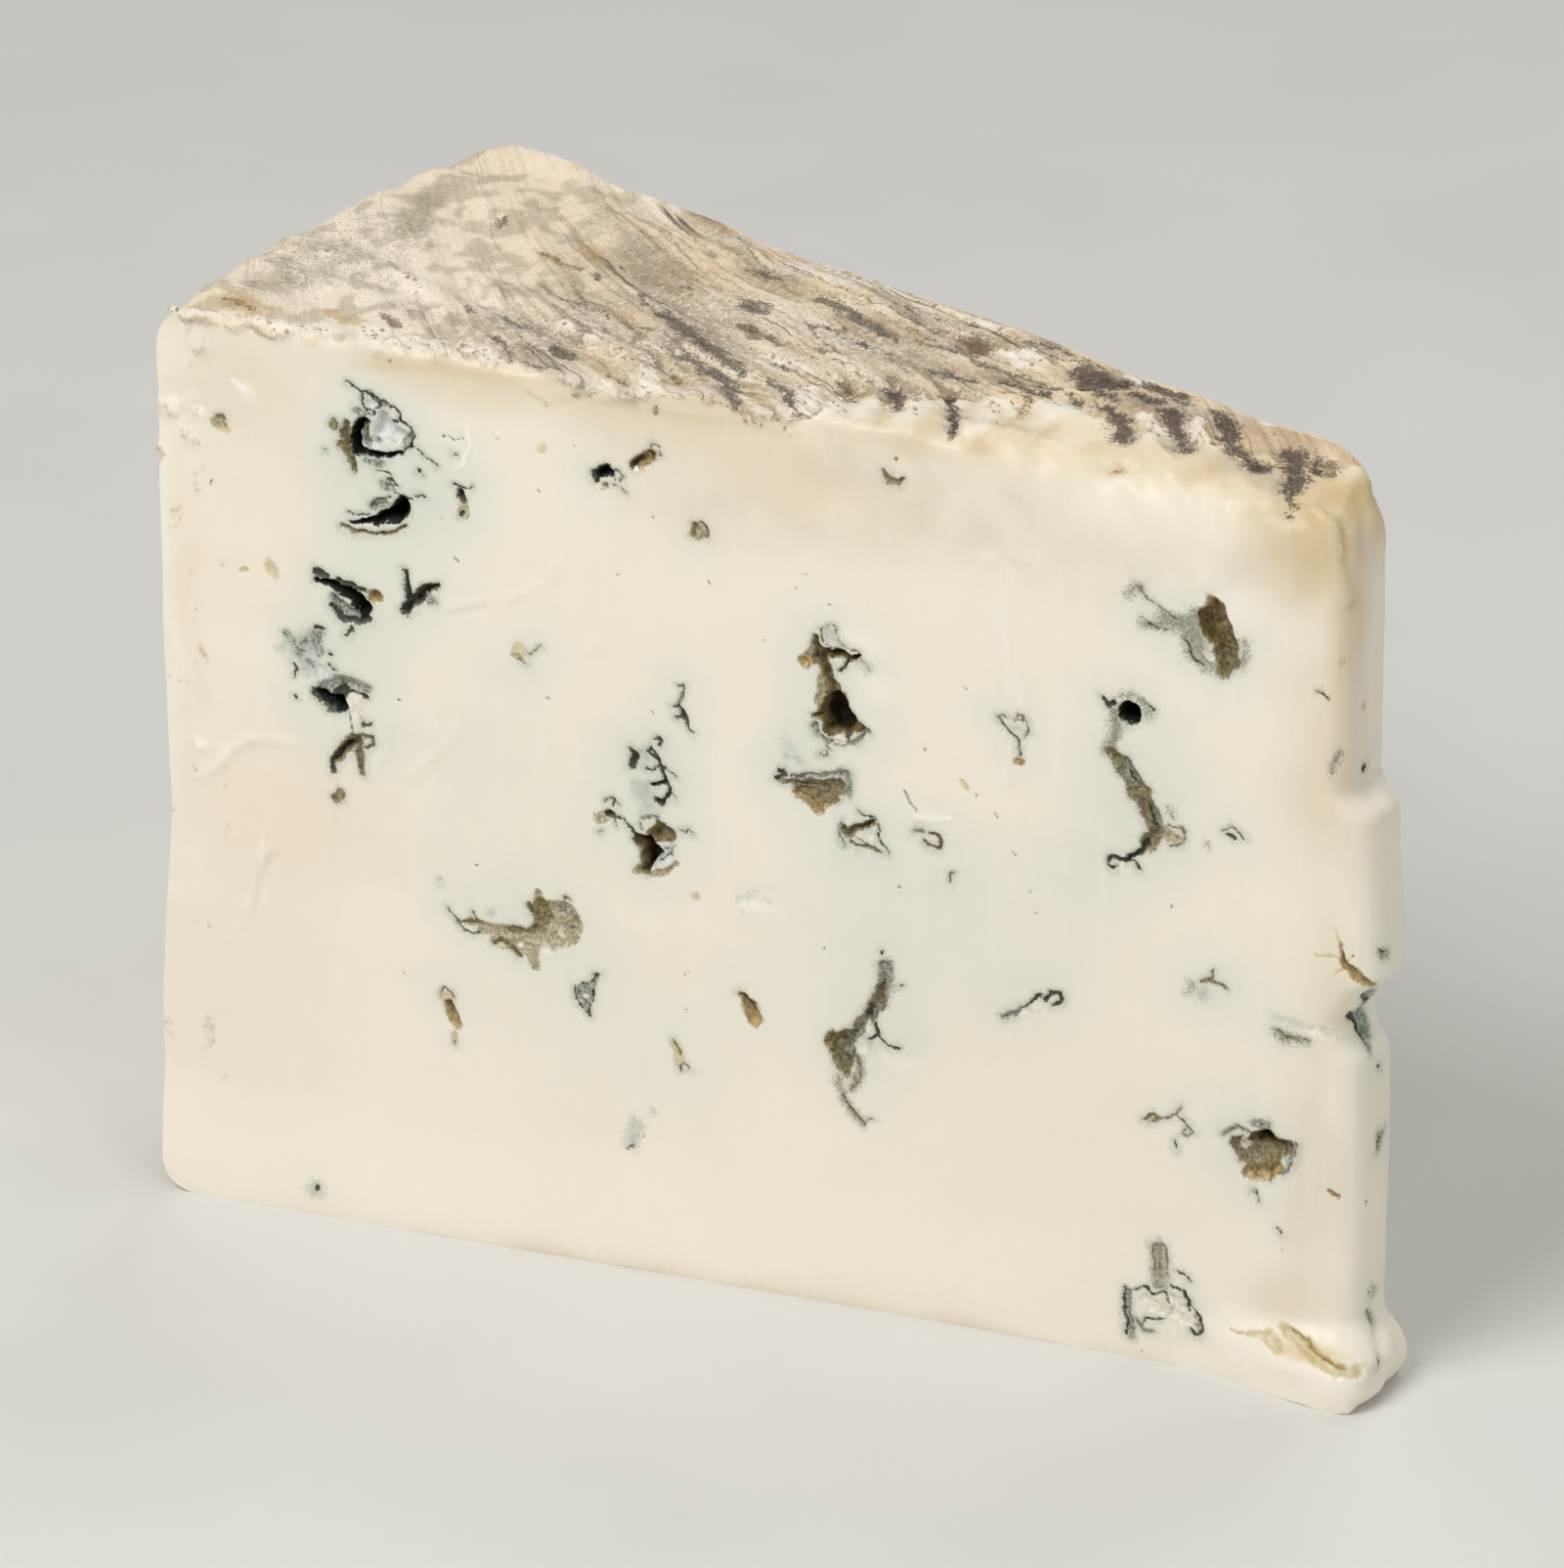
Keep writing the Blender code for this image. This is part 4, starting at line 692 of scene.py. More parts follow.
# Soft tints of the front cut: colour, distance from the rim, height, half width, half height, amount.
PASTE = "#f2ecdb"
HAZE = "#dfe1d5"
PEACH = "#f2e0c6"
TAN = "#e0ceae"
HONEY = "#cfb27c"
# PALE is the white of fat and of the lip, and also painted highlight on ridges, crests and edges.
PALE = "#f6efe1"
FOOT = "#bfa47c"
FRONT_TINTS = (
    (TAN, 62, 0, 52, 3.4, 0.5), (FOOT, 62, -1, 52, 1.9, 0.85), ("#fbf3e3", 60, 6, 95, 34, 0.5),
    # The tan band under the rind, centred 45 along and 94 up, is partly the paste's own tone there and
    # partly painted shadow under the overhanging crust.
    (TAN, 45, 94, 34, 5.5, 0.75), (TAN, 66, 88, 24, 10, 0.55), (TAN, 90, 88, 26, 9, 0.3),
    (PEACH, 2.8, 66, 2.4, 24, 0.5), (PEACH, 12, 44, 13, 10, 0.7), (PEACH, 92, 24, 18, 16, 0.2),
    (PEACH, 8, 20, 14, 22, 0.3), (PEACH, 10, 78, 10, 18, 0.35), (TAN, 9, 90, 10, 7, 0.4),
    # The honey and tan tints centred 120 or more along, above the lip, are partly the paste's amber and
    # partly painted shade of the tip's end, which turns away from the lamps.
    (HONEY, 120, 90, 9, 9, 0.75), (HONEY, 125, 80, 4, 10, 0.5), (TAN, 122, 68, 7, 18, 0.6),
    (TAN, 121, 24, 4, 16, 0.5), (TAN, 122, 44, 4, 9, 0.4), (TAN, 113, 92, 8, 4, 0.5),
    (HAZE, 22.5, 84, 9, 9, 1), (HAZE, 23, 75, 9, 9, 0.9), (HAZE, 19, 64, 8.5, 10, 0.8),
    (HAZE, 30, 80, 7, 8, 0.8), (HAZE, 20, 54, 7, 6, 0.6), (HAZE, 52, 53, 6.5, 9, 1),
    (HAZE, 71, 66, 7, 10, 0.5), (HAZE, 67, 59, 5, 3.5, 0.9), (HAZE, 74, 50, 9, 6, 0.6),
    (HAZE, 103, 60, 9, 12, 0.6), (HAZE, 82, 42, 24, 16, 0.45), (HAZE, 108, 78, 8, 5, 0.5),
    (HAZE, 76, 31, 8, 12, 0.5), (HAZE, 40, 36, 12, 7, 0.5), (HAZE, 116, 25, 9, 8, 0.5),
    (HAZE, 106, 6, 6, 5, 0.4), (HAZE, 48, 24, 20, 14, 0.3), (HAZE, 35, 50, 14, 16, 0.25),
    # Pale tints over the flecks high at the left edge are the white of fat, and the two on the lip, at 119
    # and 123, are its white; the other pale tints, along ridges, round pockets, down the line at 89.6 and
    # along the left edge at 0.4, are painted highlights.
    (HAZE, 96, 50, 6, 8, 0.4), (HAZE, 112, 40, 8, 5, 0.4), (PALE, 64, 42.5, 3, 1.3, 0.8),
    (PALE, 81.5, 54.6, 2.2, 0.5, 0.9), (PALE, 9, 89, 1.2, 1, 0.8), (PALE, 74, 72.5, 2.4, 2.2, 0.9),
    (PALE, 75, 67.5, 2.2, 2.4, 0.9), (PALE, 112, 81.5, 3, 2.5, 0.7), (PALE, 89.6, 73, 0.7, 14, 0.8),
    (PALE, 78.5, 28, 3, 1.6, 0.8), (PALE, 0.4, 66, 1, 32, 0.9), (PALE, 3.8, 49.8, 1, 0.6, 0.9),
    (PALE, 6.4, 48.9, 1.2, 1.4, 0.7), (PALE, 10.4, 39.5, 0.7, 1.5, 0.7), (PALE, 1.6, 86.3, 0.6, 0.8, 1),
    (PALE, 4.5, 85.7, 0.5, 0.7, 0.9), (PALE, 2.5, 83, 0.4, 0.4, 0.9), (PALE, 119, 3.8, 9, 1.5, 0.8),
    # Honey at 121.5 along and 5.6 up is partly the crack's amber and partly painted shade in the crack
    # under the torn edge.
    (PALE, 123, 2, 5, 2, 0.9), (HONEY, 121.5, 5.6, 5, 1.2, 0.9), (TAN, 119, 9, 6, 4, 0.4),
)

# Soft tints of the worn front edge: colour, distance from the rim, leaning distance behind the
# square edge, half length, half width, amount.
SMOKE = "#9a8b7c"
EDGE_TINTS = (
    ("#dcc8a4", 98, 3, 34, 11, 0.85), (TAN, 60, -4, 9, 3, 0.4), (TAN, 82, 2, 14, 7, 0.6),
    # The pale lobes along the worn edge are painted highlights on the crests of its folds.
    (PALE, 69.6, 2.6, 1.7, 5, 0.8), (PALE, 73, 2, 1, 4, 0.5), (PALE, 78, 4, 1.2, 5, 0.6),
    (PALE, 84.8, 4, 1.3, 6, 0.7), (PALE, 90.5, 9, 2.4, 3, 0.5), (PALE, 101.4, 7.5, 1.1, 4, 0.6),
    (PEACH, 94, 1, 6, 6, 0.5), (HONEY, 87.4, 7, 0.8, 5, 0.7), (HONEY, 108.5, 1, 2.4, 5, 0.45),
    # Honey at 120.5 and 129 along, round the tip's corner, is partly the worn paste's amber and partly
    # painted shade of the rounded corner turned from the lamps.
    (HONEY, 120.5, 0, 8, 9, 0.8), (HONEY, 129, 2, 9, 16, 0.75), (HONEY, 112, -1, 6, 4, 0.45),
    # Honey at 26 and 33 along, just behind the edge, is painted shadow under the bulging crust.
    (HONEY, 87, -1, 2.4, 3, 0.6), (HONEY, 97, 2, 2.4, 3, 0.4), (HONEY, 26, -3, 4, 3, 0.35),
    (HONEY, 33, -2, 9, 2.6, 0.4), (HONEY, 101, -1.6, 1, 1.6, 0.9), (HONEY, 80.4, 2, 1.4, 5, 0.6),
    (HONEY, 91.6, 4, 1, 5, 0.6), (HONEY, 75.6, 1, 1.2, 3, 0.6), (SMOKE, 94, 13, 8, 2.4, 0.6),
    (SMOKE, 99, 8, 2.4, 4, 0.5), (SMOKE, 104, 9, 2.4, 5, 0.5), (SMOKE, 111, 4, 4, 4, 0.5),
    (SMOKE, 116.5, 2, 4, 6, 0.6), (SMOKE, 75, 6, 1.4, 4, 0.6), (SMOKE, 82, 4, 1.4, 6, 0.4),
    (TAN, 81, -3, 3, 5, 0.5),
)

# Soft tints of the top rind: colour, distance from the rim, distance behind the front cut, half
# length, half width, amount.
DRY_RIND = "#e8d1ae"
CREAM_RIND = "#f0e6d2"
GREY_RIND = "#aa9e84"
BROWN_RIND = "#a98f70"
PINK_RIND = "#dcbf9f"
CHAR_RIND = "#75665a"
FOOT_RIND = "#8a6d4c"
CRUST_RIND = "#f3e6d4"
TOP_TINTS = (
    (CREAM_RIND, 10, 26, 30, 44, 0.75), (CREAM_RIND, 24, 12, 26, 18, 0.6),
    (CREAM_RIND, 62, 18, 30, 16, 0.6), (GREY_RIND, 12.5, 37, 2.6, 10, 0.85),
    (GREY_RIND, 14.5, 30, 2.4, 5, 0.7), (GREY_RIND, 17.5, 27, 1.6, 1.6, 0.7), (GREY_RIND, 8, 22, 4, 4, 0.6),
    (GREY_RIND, 7.5, 12, 3, 4, 0.7), (GREY_RIND, 11, 17, 2, 6, 0.5), (GREY_RIND, 24, 38, 2, 8, 0.45),
    (GREY_RIND, 30, 39, 2, 8, 0.45), (GREY_RIND, 37, 33, 2.5, 7, 0.5), (GREY_RIND, 33, 20, 7, 3, 0.35),
    (GREY_RIND, 44, 21, 7, 3, 0.5), (GREY_RIND, 33, 10, 7, 2.6, 0.6), (GREY_RIND, 37, 4, 4, 3, 0.5),
    (GREY_RIND, 50, 14, 9, 3, 0.5), (GREY_RIND, 40.5, 6, 3, 2, 0.6), (PINK_RIND, 31, 28, 4, 3, 0.6),
    (PINK_RIND, 43, 18, 4, 3, 0.6), (PINK_RIND, 44, 29, 5, 4, 0.5), (PINK_RIND, 44, 8, 3, 2, 0.6),
    (PINK_RIND, 55, 29, 6, 4, 0.4), (PINK_RIND, 62, 16, 7, 3, 0.5), (BROWN_RIND, 52, 18, 8, 4, 0.55),
    (BROWN_RIND, 66, 23, 9, 4, 0.5), (BROWN_RIND, 50, 33, 6, 3, 0.4), (BROWN_RIND, 73, 17, 6, 2.4, 0.4),
    (BROWN_RIND, 80, 15, 8, 2.6, 0.6), (BROWN_RIND, 77.5, 23, 2.6, 3, 0.8),
    (BROWN_RIND, 6.5, 6, 2.6, 1.8, 0.8), (BROWN_RIND, 17.6, 6.4, 2.2, 1.2, 0.5),
    (HONEY, 34, 32, 2.4, 2.4, 0.5), (CREAM_RIND, 22, 2.4, 18, 3.4, 0.95),
    (CREAM_RIND, 46, 0.4, 9, 4.4, 0.9), (CREAM_RIND, 66, 3, 10, 5, 0.8),
    (CREAM_RIND, 31, 2.6, 10, 3.4, 0.95), (CREAM_RIND, 40, 13, 4, 3, 0.5),
    (CREAM_RIND, 62, 11, 5, 2.4, 0.5), (CREAM_RIND, 62, 35, 18, 2.6, 0.8),
    (CREAM_RIND, 77, 28, 5, 1.6, 0.8), (CHAR_RIND, 84, 24.6, 8, 1.6, 0.7), (CHAR_RIND, 92, 18.4, 5, 3, 0.8),
    (CHAR_RIND, 84, 15, 5, 1.4, 0.5), (CHAR_RIND, 97, 14.6, 6, 2.4, 0.5),
    (CREAM_RIND, 83, 21.4, 2.6, 2.2, 1), (PINK_RIND, 86.6, 17.8, 2.2, 1.4, 0.9),
    (PINK_RIND, 101, 11.6, 4, 3, 0.5), (CREAM_RIND, 108, 15, 10, 3, 0.3), (BROWN_RIND, 112, 11, 9, 5, 0.6),
    (CHAR_RIND, 101, 13, 9, 4, 0.45), (PINK_RIND, 110.5, 10, 3, 3, 0.7), (TAN, 120, 5, 4, 5, 0.6),
)

# Where the top rind is gritty with fine dark grains: distance from the rim, distance behind the front
# cut, half length, half width and amount.
GRIT_PATCHES = (
    (38, 11, 14, 11, 0.9), (52, 9, 14, 10, 1), (50, 22, 16, 10, 0.75), (64, 18, 14, 9, 0.7),
    (10, 22, 14, 18, 0.7), (24, 10, 12, 5, 0.5), (70, 8, 8, 6, 0.9), (75, 24, 8, 5, 0.7),
    (66, 30, 16, 3, 0.5),
)

# Blotches of the top rind: kind, radius, and spots given as distance from the rim, distance behind
# the front cut and, where it differs, their own radius.
TOP_MARKS = (
    # The right end: dark folds over the worn edge.
    ("soot", 1, (107.6, 10, 0.8), (109.6, 7.6), (111.6, 5.2), (113.4, 3.6)),
    ("umber", 0.7, (112.6, 4.2), (116, 4.4)),
    ("soot", 1.2, (114.8, 9, 1.4), (115.6, 6.4, 1.3), (117.2, 3), (118, 0, 0.9), (118.4, -2.4, 0.4)),
    ("soot", 0.8, (117.4, 8.2), (118.6, 5.2, 0.7)), ("umber", 0.7, (119.2, 7.6), (120, 4.6)),
    ("soot", 0.14, (118.6, -2), (119.8, -6.6)), ("soot", 0.22, (119.6, -6.4), (120.4, -6.8)),
    ("soot", 0.9, (100.8, 13.6, 1.3), (102.4, 10.4), (103.6, 8), (105, 5.4, 0.6)),
    ("soot", 1.1, (105.2, 14.6, 0.8), (106.6, 12.6), (108, 10.4, 0.9)),
    ("soot", 1.2, (96.4, 10.4, 0.9), (97.2, 8.8), (98.4, 6.2, 1.3)),
    ("soot", 0.8, (94.6, 12.2), (97, 10.6)), ("soot", 1.5, (90.6, 19.6), (92.6, 17.6), (94.6, 18.6, 0.8)),
    ("soot", 0.9, (89, 20.8), (91, 16.2)), ("soot", 0.9, (92.4, 15.8), (94.6, 14.4, 0.5)),
    ("soot", 1, (97, 18.8), (100.4, 17), (101.4, 16.2, 0.6)), ("soot", 0.6, (95.8, 16.2), (99, 15)),
    ("soot", 0.45, (83.2, 14.4), (86, 13.6), (88.6, 12.8)),
    ("soot", 0.3, (86.6, 15), (89.6, 14), (92.4, 12)), ("umber", 0.3, (84, 12.6), (86.6, 12)),
    ("umber", 0.5, (79.4, 10.2, 0.9), (80.6, 7.6), (82, 4.6), (83.4, -0.6, 0.3)),
    ("soot", 0.45, (79.8, 9.8, 0.6), (80.9, 7), (82.2, 4), (83.2, 0.6, 0.2)), ("umber", 0.45, (101, -1.6)),
    ("umber", 0.5, (86.6, 12), (87.2, 8, 0.3)),
    ("soot", 1.1, (73.6, 9.8, 0.9), (74.8, 7.6), (75.8, 5, 0.7)),
    ("umber", 1, (69, 9.4, 0.8), (70, 7.2), (70.8, 5.6, 0.5)), ("ochre", 0.9, (71.6, 7.4)),
    # Dark bands down the middle, along the streaks.
    ("smut", 0.6, (46.2, 19, 0.9), (49, 16.4, 1.1), (51.6, 14), (54.4, 11.8, 0.8), (57.6, 9.2),
     (59.4, 7, 0.4)),
    ("smut", 0.8, (51.6, 9.6, 0.9), (53.6, 8.2), (56, 6.6, 1.1), (58.4, 5.2), (60, 3.2, 0.6)),
    ("smut", 0.8, (59.2, 3.4), (60.4, 1.6), (61.4, -0.4, 0.6)),
    ("smut", 0.7, (61.8, 7), (63.6, 5.4), (65.4, 3.6), (66.6, 1.8, 0.5)),
    ("umber", 0.45, (65.4, 3.4), (66.6, 1.6)), ("umber", 0.35, (67.6, -0.2), (68.2, -1.4)),
    ("smut", 0.6, (58.8, 28.6, 0.9), (61.6, 26.8, 0.8), (64.8, 24.4), (67.6, 22.4), (70.4, 20.4, 0.3)),
    ("umber", 0.2, (51.6, 36.2), (57, 33.2), (62.4, 30.6), (68.6, 27.2), (74, 24.4), (79.6, 21.4)),
    ("umber", 0.16, (57.6, 30.4), (64, 27.6), (70.4, 24), (75, 21)),
    ("umber", 0.2, (66, 19.8), (70, 16.8), (74.6, 13)),
    ("smut", 0.3, (60, 21.8), (62.6, 21.6), (64.2, 20), (66.4, 19)),
    ("smut", 0.45, (66.6, 19.2), (67.8, 18)),
    ("umber", 0.18, (66, 30.2), (70.6, 28.4), (75, 25.6), (78.8, 23.2)),
    ("umber", 0.16, (36, 29.8), (39, 27.8), (41, 26)), ("smut", 1.5, (53.2, 23.6), (54.6, 23, 0.9)),
    ("smut", 0.5, (52, 25.4), (55, 25)), ("umber", 0.8, (54.2, 19), (55.6, 18), (56.8, 16.6)),
    ("umber", 0.5, (57.4, 17.6), (59.6, 15.6)), ("umber", 1.1, (76.4, 23.6), (78.8, 21.6)),
    ("smut", 0.5, (75.6, 20.4), (78.2, 20)), ("umber", 0.4, (71.6, 21.6), (75, 20.4)),
    ("smut", 0.45, (61.2, 10.6), (63, 9.9)), ("smut", 0.5, (49.6, 33.4), (53.6, 31.6, 0.4)),
    ("smut", 0.5, (75.6, 14.8), (80.6, 13.6)), ("smut", 0.35, (78.2, 18.4), (84.6, 16.6), (89, 14.8)),
    ("smut", 0.3, (80.4, 24.6), (86, 22.6), (90.8, 21.6)),
    ("smut", 0.3, (78.4, 26.4), (84, 24.8), (89.6, 23)),
    # Marks of the front band and of the left.
    ("smut", 0.5, (39.4, 7), (40.6, 5.8, 0.9), (42, 4.6, 0.8)),
    ("smut", 0.3, (31.8, 7.8), (34.6, 6), (36.2, 3.8), (37.2, 1.4)), ("smut", 0.4, (38.6, 2), (42, 1)),
    ("smut", 0.35, (27.4, 13.4), (28.4, 12.2)), ("smut", 0.35, (31, 12.6), (35, 10.6)),
    ("smut", 0.3, (36.2, 18.8), (39, 18.2), (41.2, 16.2)), ("smut", 0.3, (45, 14.8), (46.8, 14.4)),
    ("smut", 0.4, (41.8, 23), (43.6, 21)), ("smut", 0.4, (36, 27), (36.5, 25.2)),
    ("smut", 0.4, (21.2, 37.2), (22, 35.2)), ("smut", 0.3, (35.6, 38.6), (37.2, 37.6)),
    ("umber", 0.4, (45.4, 26.7), (46.4, 26.4)), ("umber", 0.35, (20.8, 8.8), (22.2, 7.2, 0.6), (24, 6.4)),
    ("umber", 0.3, (28, 30.2), (34, 26.4)), ("umber", 0.3, (4.6, 7.2), (6.4, 6.2), (8.4, 5)),
    ("umber", 0.4, (47, 2.6), (49.6, 0.6)), ("umber", 0.4, (53.2, 4.2), (54.4, 2.8)),
    ("ochre", 1.2, (16.2, 7), (18.4, 6)), ("ochre", 2.2, (5, 6.8), (8.6, 5)),
    ("ochre", 1, (32.5, 32.4), (34.6, 30.4)), ("ochre", 1.2, (44.4, 5.4), (48.6, 1.4)),
    ("ochre", 0.9, (53, 3.8), (55, 2.8)), ("ochre", 0.9, (61, 4.4), (64, 1)),
    ("ochre", 0.8, (29.6, 29.4), (32, 27)), ("ochre", 1, (66, 25.6), (72, 22.4)),
    # White bloom: crumbs along the front edge, veils along the back one.
    ("bloom", 1.1, (21.2, 4.4), (22.4, 1.4), (24.6, 0.4)), ("bloom", 1.3, (26, 3.4), (29, 3), (32, 2.6)),
    ("bloom", 0.9, (33.6, 3.4), (35.6, 1.2)), ("bloom", 0.9, (9.6, 2.6), (13, 1.6), (17, 2.4)),
    ("bloom", 0.8, (0.8, 2), (5, 1.8)), ("bloom", 0.7, (42.4, -4.8), (44.2, -6), (45.2, -4.2)),
    ("bloom", 0.6, (45.6, -3.4), (47, -1.4)), ("bloom", 0.6, (48.4, -3.6), (51.4, -3)),
    ("bloom", 0.9, (50.6, 4.6), (52.4, 0.4)), ("bloom", 1, (66.4, 5.8), (68.4, 1)),
    ("bloom", 0.8, (70.8, 3), (72.2, -1)), ("bloom", 0.5, (63.4, -3.4), (65.8, -4.2), (69, -4)),
    ("bloom", 0.8, (38.2, 12.6), (42, 10.8)), ("bloom", 0.6, (59.6, 12.4), (64, 10.6)),
    ("bloom", 0.9, (57.6, 36.6), (66, 33.4), (73.6, 29.8), (78, 27.6)),
    ("bloom", 1.8, (82.4, 22), (83.6, 20.4)), ("bloom", 0.8, (94.4, 20.4), (96.6, 19.4)),
    ("bloom", 0.6, (8.6, 21.2)), ("bloom", 0.5, (12.8, 13)), ("bloom", 0.9, (18, 19), (21, 15.6)),
    ("bloom", 0.7, (103.6, 12), (106.4, 6.6)), ("bloom", 0.7, (98.8, 11.8), (101.2, 7.4)),
    ("bloom", 0.5, (81.6, 8), (83, 4.6)), ("bloom", 0.6, (77, 8.2), (78.6, 3)),
    ("bloom", 0.7, (84.6, 9), (85.6, 4)), ("bloom", 0.6, (89, 11.2), (93, 10)),
)

# Ridges and cracks of the front paste: height (less than 0 for a crack), half width, and spots.
FRONT_RIDGES = (
    (0.22, 0.5, (3.5, 46), (5.5, 47.6), (7, 49.6), (9.2, 51.2)), (0.15, 0.6, (9.2, 51.2), (13.5, 51.5)),
    (-0.14, 0.35, (11.6, 38.8), (10.4, 36.6), (9, 31)), (0.16, 0.5, (11, 39.4), (9.6, 36.4), (8.4, 31)),
    (-0.14, 0.22, (31.2, 68.1), (35.2, 69.6)), (0.12, 0.4, (31.2, 68.8), (35.2, 70.3)),
    (0.12, 0.45, (37, 70.5), (40, 72.3), (42.3, 74.2), (42.8, 75.3)),
    (-0.08, 0.2, (40, 73.4), (40.6, 73.7)), (0.12, 0.5, (45.5, 66.3), (46.7, 67.5)),
    (0.12, 0.6, (26, 49.5), (29, 52.4), (32, 56)), (0.14, 0.5, (33, 88), (33.4, 86.5), (32.5, 84.3)),
    (0.12, 0.6, (24.2, 55.6), (24, 52.2), (22.4, 49.4)), (0.10, 0.4, (89.6, 60), (89.6, 72), (90, 86)),
    (-0.08, 0.25, (88.9, 62), (88.9, 84)), (0.14, 0.5, (39.5, 93.3), (41.8, 92.5), (43, 93.5), (46, 94.6)),
    (-0.12, 0.35, (39.5, 92.6), (41.8, 91.8), (43, 92.7)), (0.12, 0.5, (48, 93.8), (52, 93.2), (60, 93.4)),
    (0.16, 0.6, (62, 41.8), (64.5, 42)), (-0.10, 0.4, (62.2, 43.6), (64.6, 43.9)),
    (0.12, 0.4, (80, 54.4), (83.6, 54.8)), (0.10, 0.4, (10.4, 38.4), (10.6, 41.2)),
    (0.10, 0.5, (3.4, 49.8), (4.2, 49.4)), (-0.08, 0.3, (2.6, 40), (3, 60), (2.4, 78)),
    (0.10, 0.6, (1.4, 40), (1.6, 60), (1.2, 80)), (0.10, 0.5, (119.4, 20), (120, 30), (121, 34)),
    (-0.10, 0.4, (120.4, 20), (121.2, 30)), (0.10, 0.4, (97.5, 8), (98, 20)),
    (0.08, 0.3, (47.6, 36), (47.2, 46)), (0.08, 0.3, (92.5, 44), (92, 56)),
)

PASTE_KINDS = ("void", "hollow", "crust", "fuzz", "down", "olive", "sponge", "moss", "amber", "honey",
               "veil", "curd", "fleck")
DARK_KINDS = ("void", "hollow", "crust", "fuzz", "olive")
RIND_KINDS = ("soot", "smut", "umber", "ochre", "bloom")
EDGE_SOFTNESS = 0.45  # a mark's cover runs from 0 to 1 over twice this, at most, in millimetres
SOFT_KINDS = ("veil", "moss")
VEIL_SOFTNESS = 0.9
SOFT_REACH = 0.7
LEAST_SOFTNESS = 0.12  # a small mark's outline is sharper than a wide one's
SOFTNESS_PER_RADIUS = 0.45
TOP_SOFTNESS = 0.8
TOP_LEAST_SOFTNESS = 0.25
TOP_SOFTNESS_PER_RADIUS = 0.5
FOLD_KINDS = ("soot", "smut", "umber")
MARK_REACH = 6.0  # a mark tells no farther off than this
MARK_DEPTH = 3.0  # nor deeper under its cut than this
RIDGE_REACH = 3.0
CUT_DEPTH = 1.0  # ridges and tints of a cut go this far under it
STAIN_DEPTH = 0.15  # dark marks shallower than this have not stained the paste
SMUDGE_REACH = 0.8  # how far mould has spread into the paste round a dark mark
HAZE_AMOUNT = 0.6
HAZE_REACH = 2.0
HAZE_END = 5.0
WALL_START = -0.08  # a pocket's wall starts this far outside its outline
WALL_WIDTH = 0.75
WALL_PER_RADIUS = 0.9
FLOOR_LUMPS = 0.7
FLOOR_ROUGHNESS = 0.25

# A mark of the top that runs down over the front edge leans along and out for each millimetre down.
LEAN_ALONG = 0.814
LEAN_OUT = 2.053

# Marks of the back cut, in millimetres: how many clusters, where they start, and for each kind how
# often it comes, how deep it is and its widest radius.
BACK_CLUSTERS = 34
BACK_ALONG = (9.0, 119.0)
BACK_UP = (9.0, 87.0)
BACK_KINDS = (
    ("olive", 0.36, 1.2, 1.25),
    ("crust", 0.22, 0.7, 0.5),
    ("hollow", 0.18, 2.2, 1.25),
    ("void", 0.12, 2.8, 1.25),
    ("amber", 0.12, 1.2, 1.25),
)
BACK_NARROWEST = 0.3
BODY_SPOTS = (3, 8)
# Each spot of a chain turns this far from the one before it, is this many radii and this much more
# away from it, and is this much as wide.
VEIN_BEND = 0.9
VEIN_STRIDE = (0.8, 1.4)
VEIN_STEP = 0.3
VEIN_GROWTH = (0.55, 1.2)
VEIN_LEAST = 0.24
TWIGS = (0, 3)
TWIG_SPOTS = (4, 8)
TWIG_TURN = 2.2
TWIG_RADIUS = 0.26
TWIG_DEPTH = 0.5
FUZZ_CHANCE = 0.6
CURD_CHANCE = 0.5


def wander(rng, start, heading, size, steps):
    """A chain of spots that wanders off from its first, growing thinner and thicker."""
    a, z = start
    chain = []
    for _ in range(steps):
        chain.append((a, z, size))
        heading += rng.uniform(-VEIN_BEND, VEIN_BEND)
        stride = rng.uniform(*VEIN_STRIDE) * size + VEIN_STEP
        a, z = a + stride * math.cos(heading), z + stride * math.sin(heading)
        size = max(size * rng.uniform(*VEIN_GROWTH), VEIN_LEAST)
    return chain


def back_marks(rng):
    """Marks for the back cut, drawn like the front's: pockets that run out into thin veins."""
    marks = []
    chances = [chance for _, chance, _, _ in BACK_KINDS]
    for _ in range(BACK_CLUSTERS):
        start = rng.uniform(*BACK_ALONG), rng.uniform(*BACK_UP)
        heading = rng.uniform(0.0, math.tau)
        kind, _, depth, widest = BACK_KINDS[rng.choice(len(BACK_KINDS), p=chances)]
        size = rng.uniform(BACK_NARROWEST, widest)
        body = wander(rng, start, heading, size, rng.integers(*BODY_SPOTS))
        marks.append((kind, depth, size, *body))
        for _ in range(rng.integers(*TWIGS)):
            a, z, _ = body[rng.integers(len(body))]
            turn = rng.uniform(-TWIG_TURN, TWIG_TURN)
            twig = wander(rng, (a, z), heading + turn, TWIG_RADIUS, rng.integers(*TWIG_SPOTS))
            marks.append(("crust", TWIG_DEPTH, TWIG_RADIUS, *twig))
        if rng.random() < FUZZ_CHANCE:
            marks.append(("fuzz", 0.3, size, *[(p + 0.6, q + 0.5, 0.7 * r) for p, q, r in body]))
        if kind != "crust" and rng.random() < CURD_CHANCE:
            marks.append(("curd", 0.2, 0.5, (body[0][0] + 0.4, body[0][1] - 0.5)))
    return tuple(marks)


BACK_MARKS = back_marks(np.random.default_rng(7))


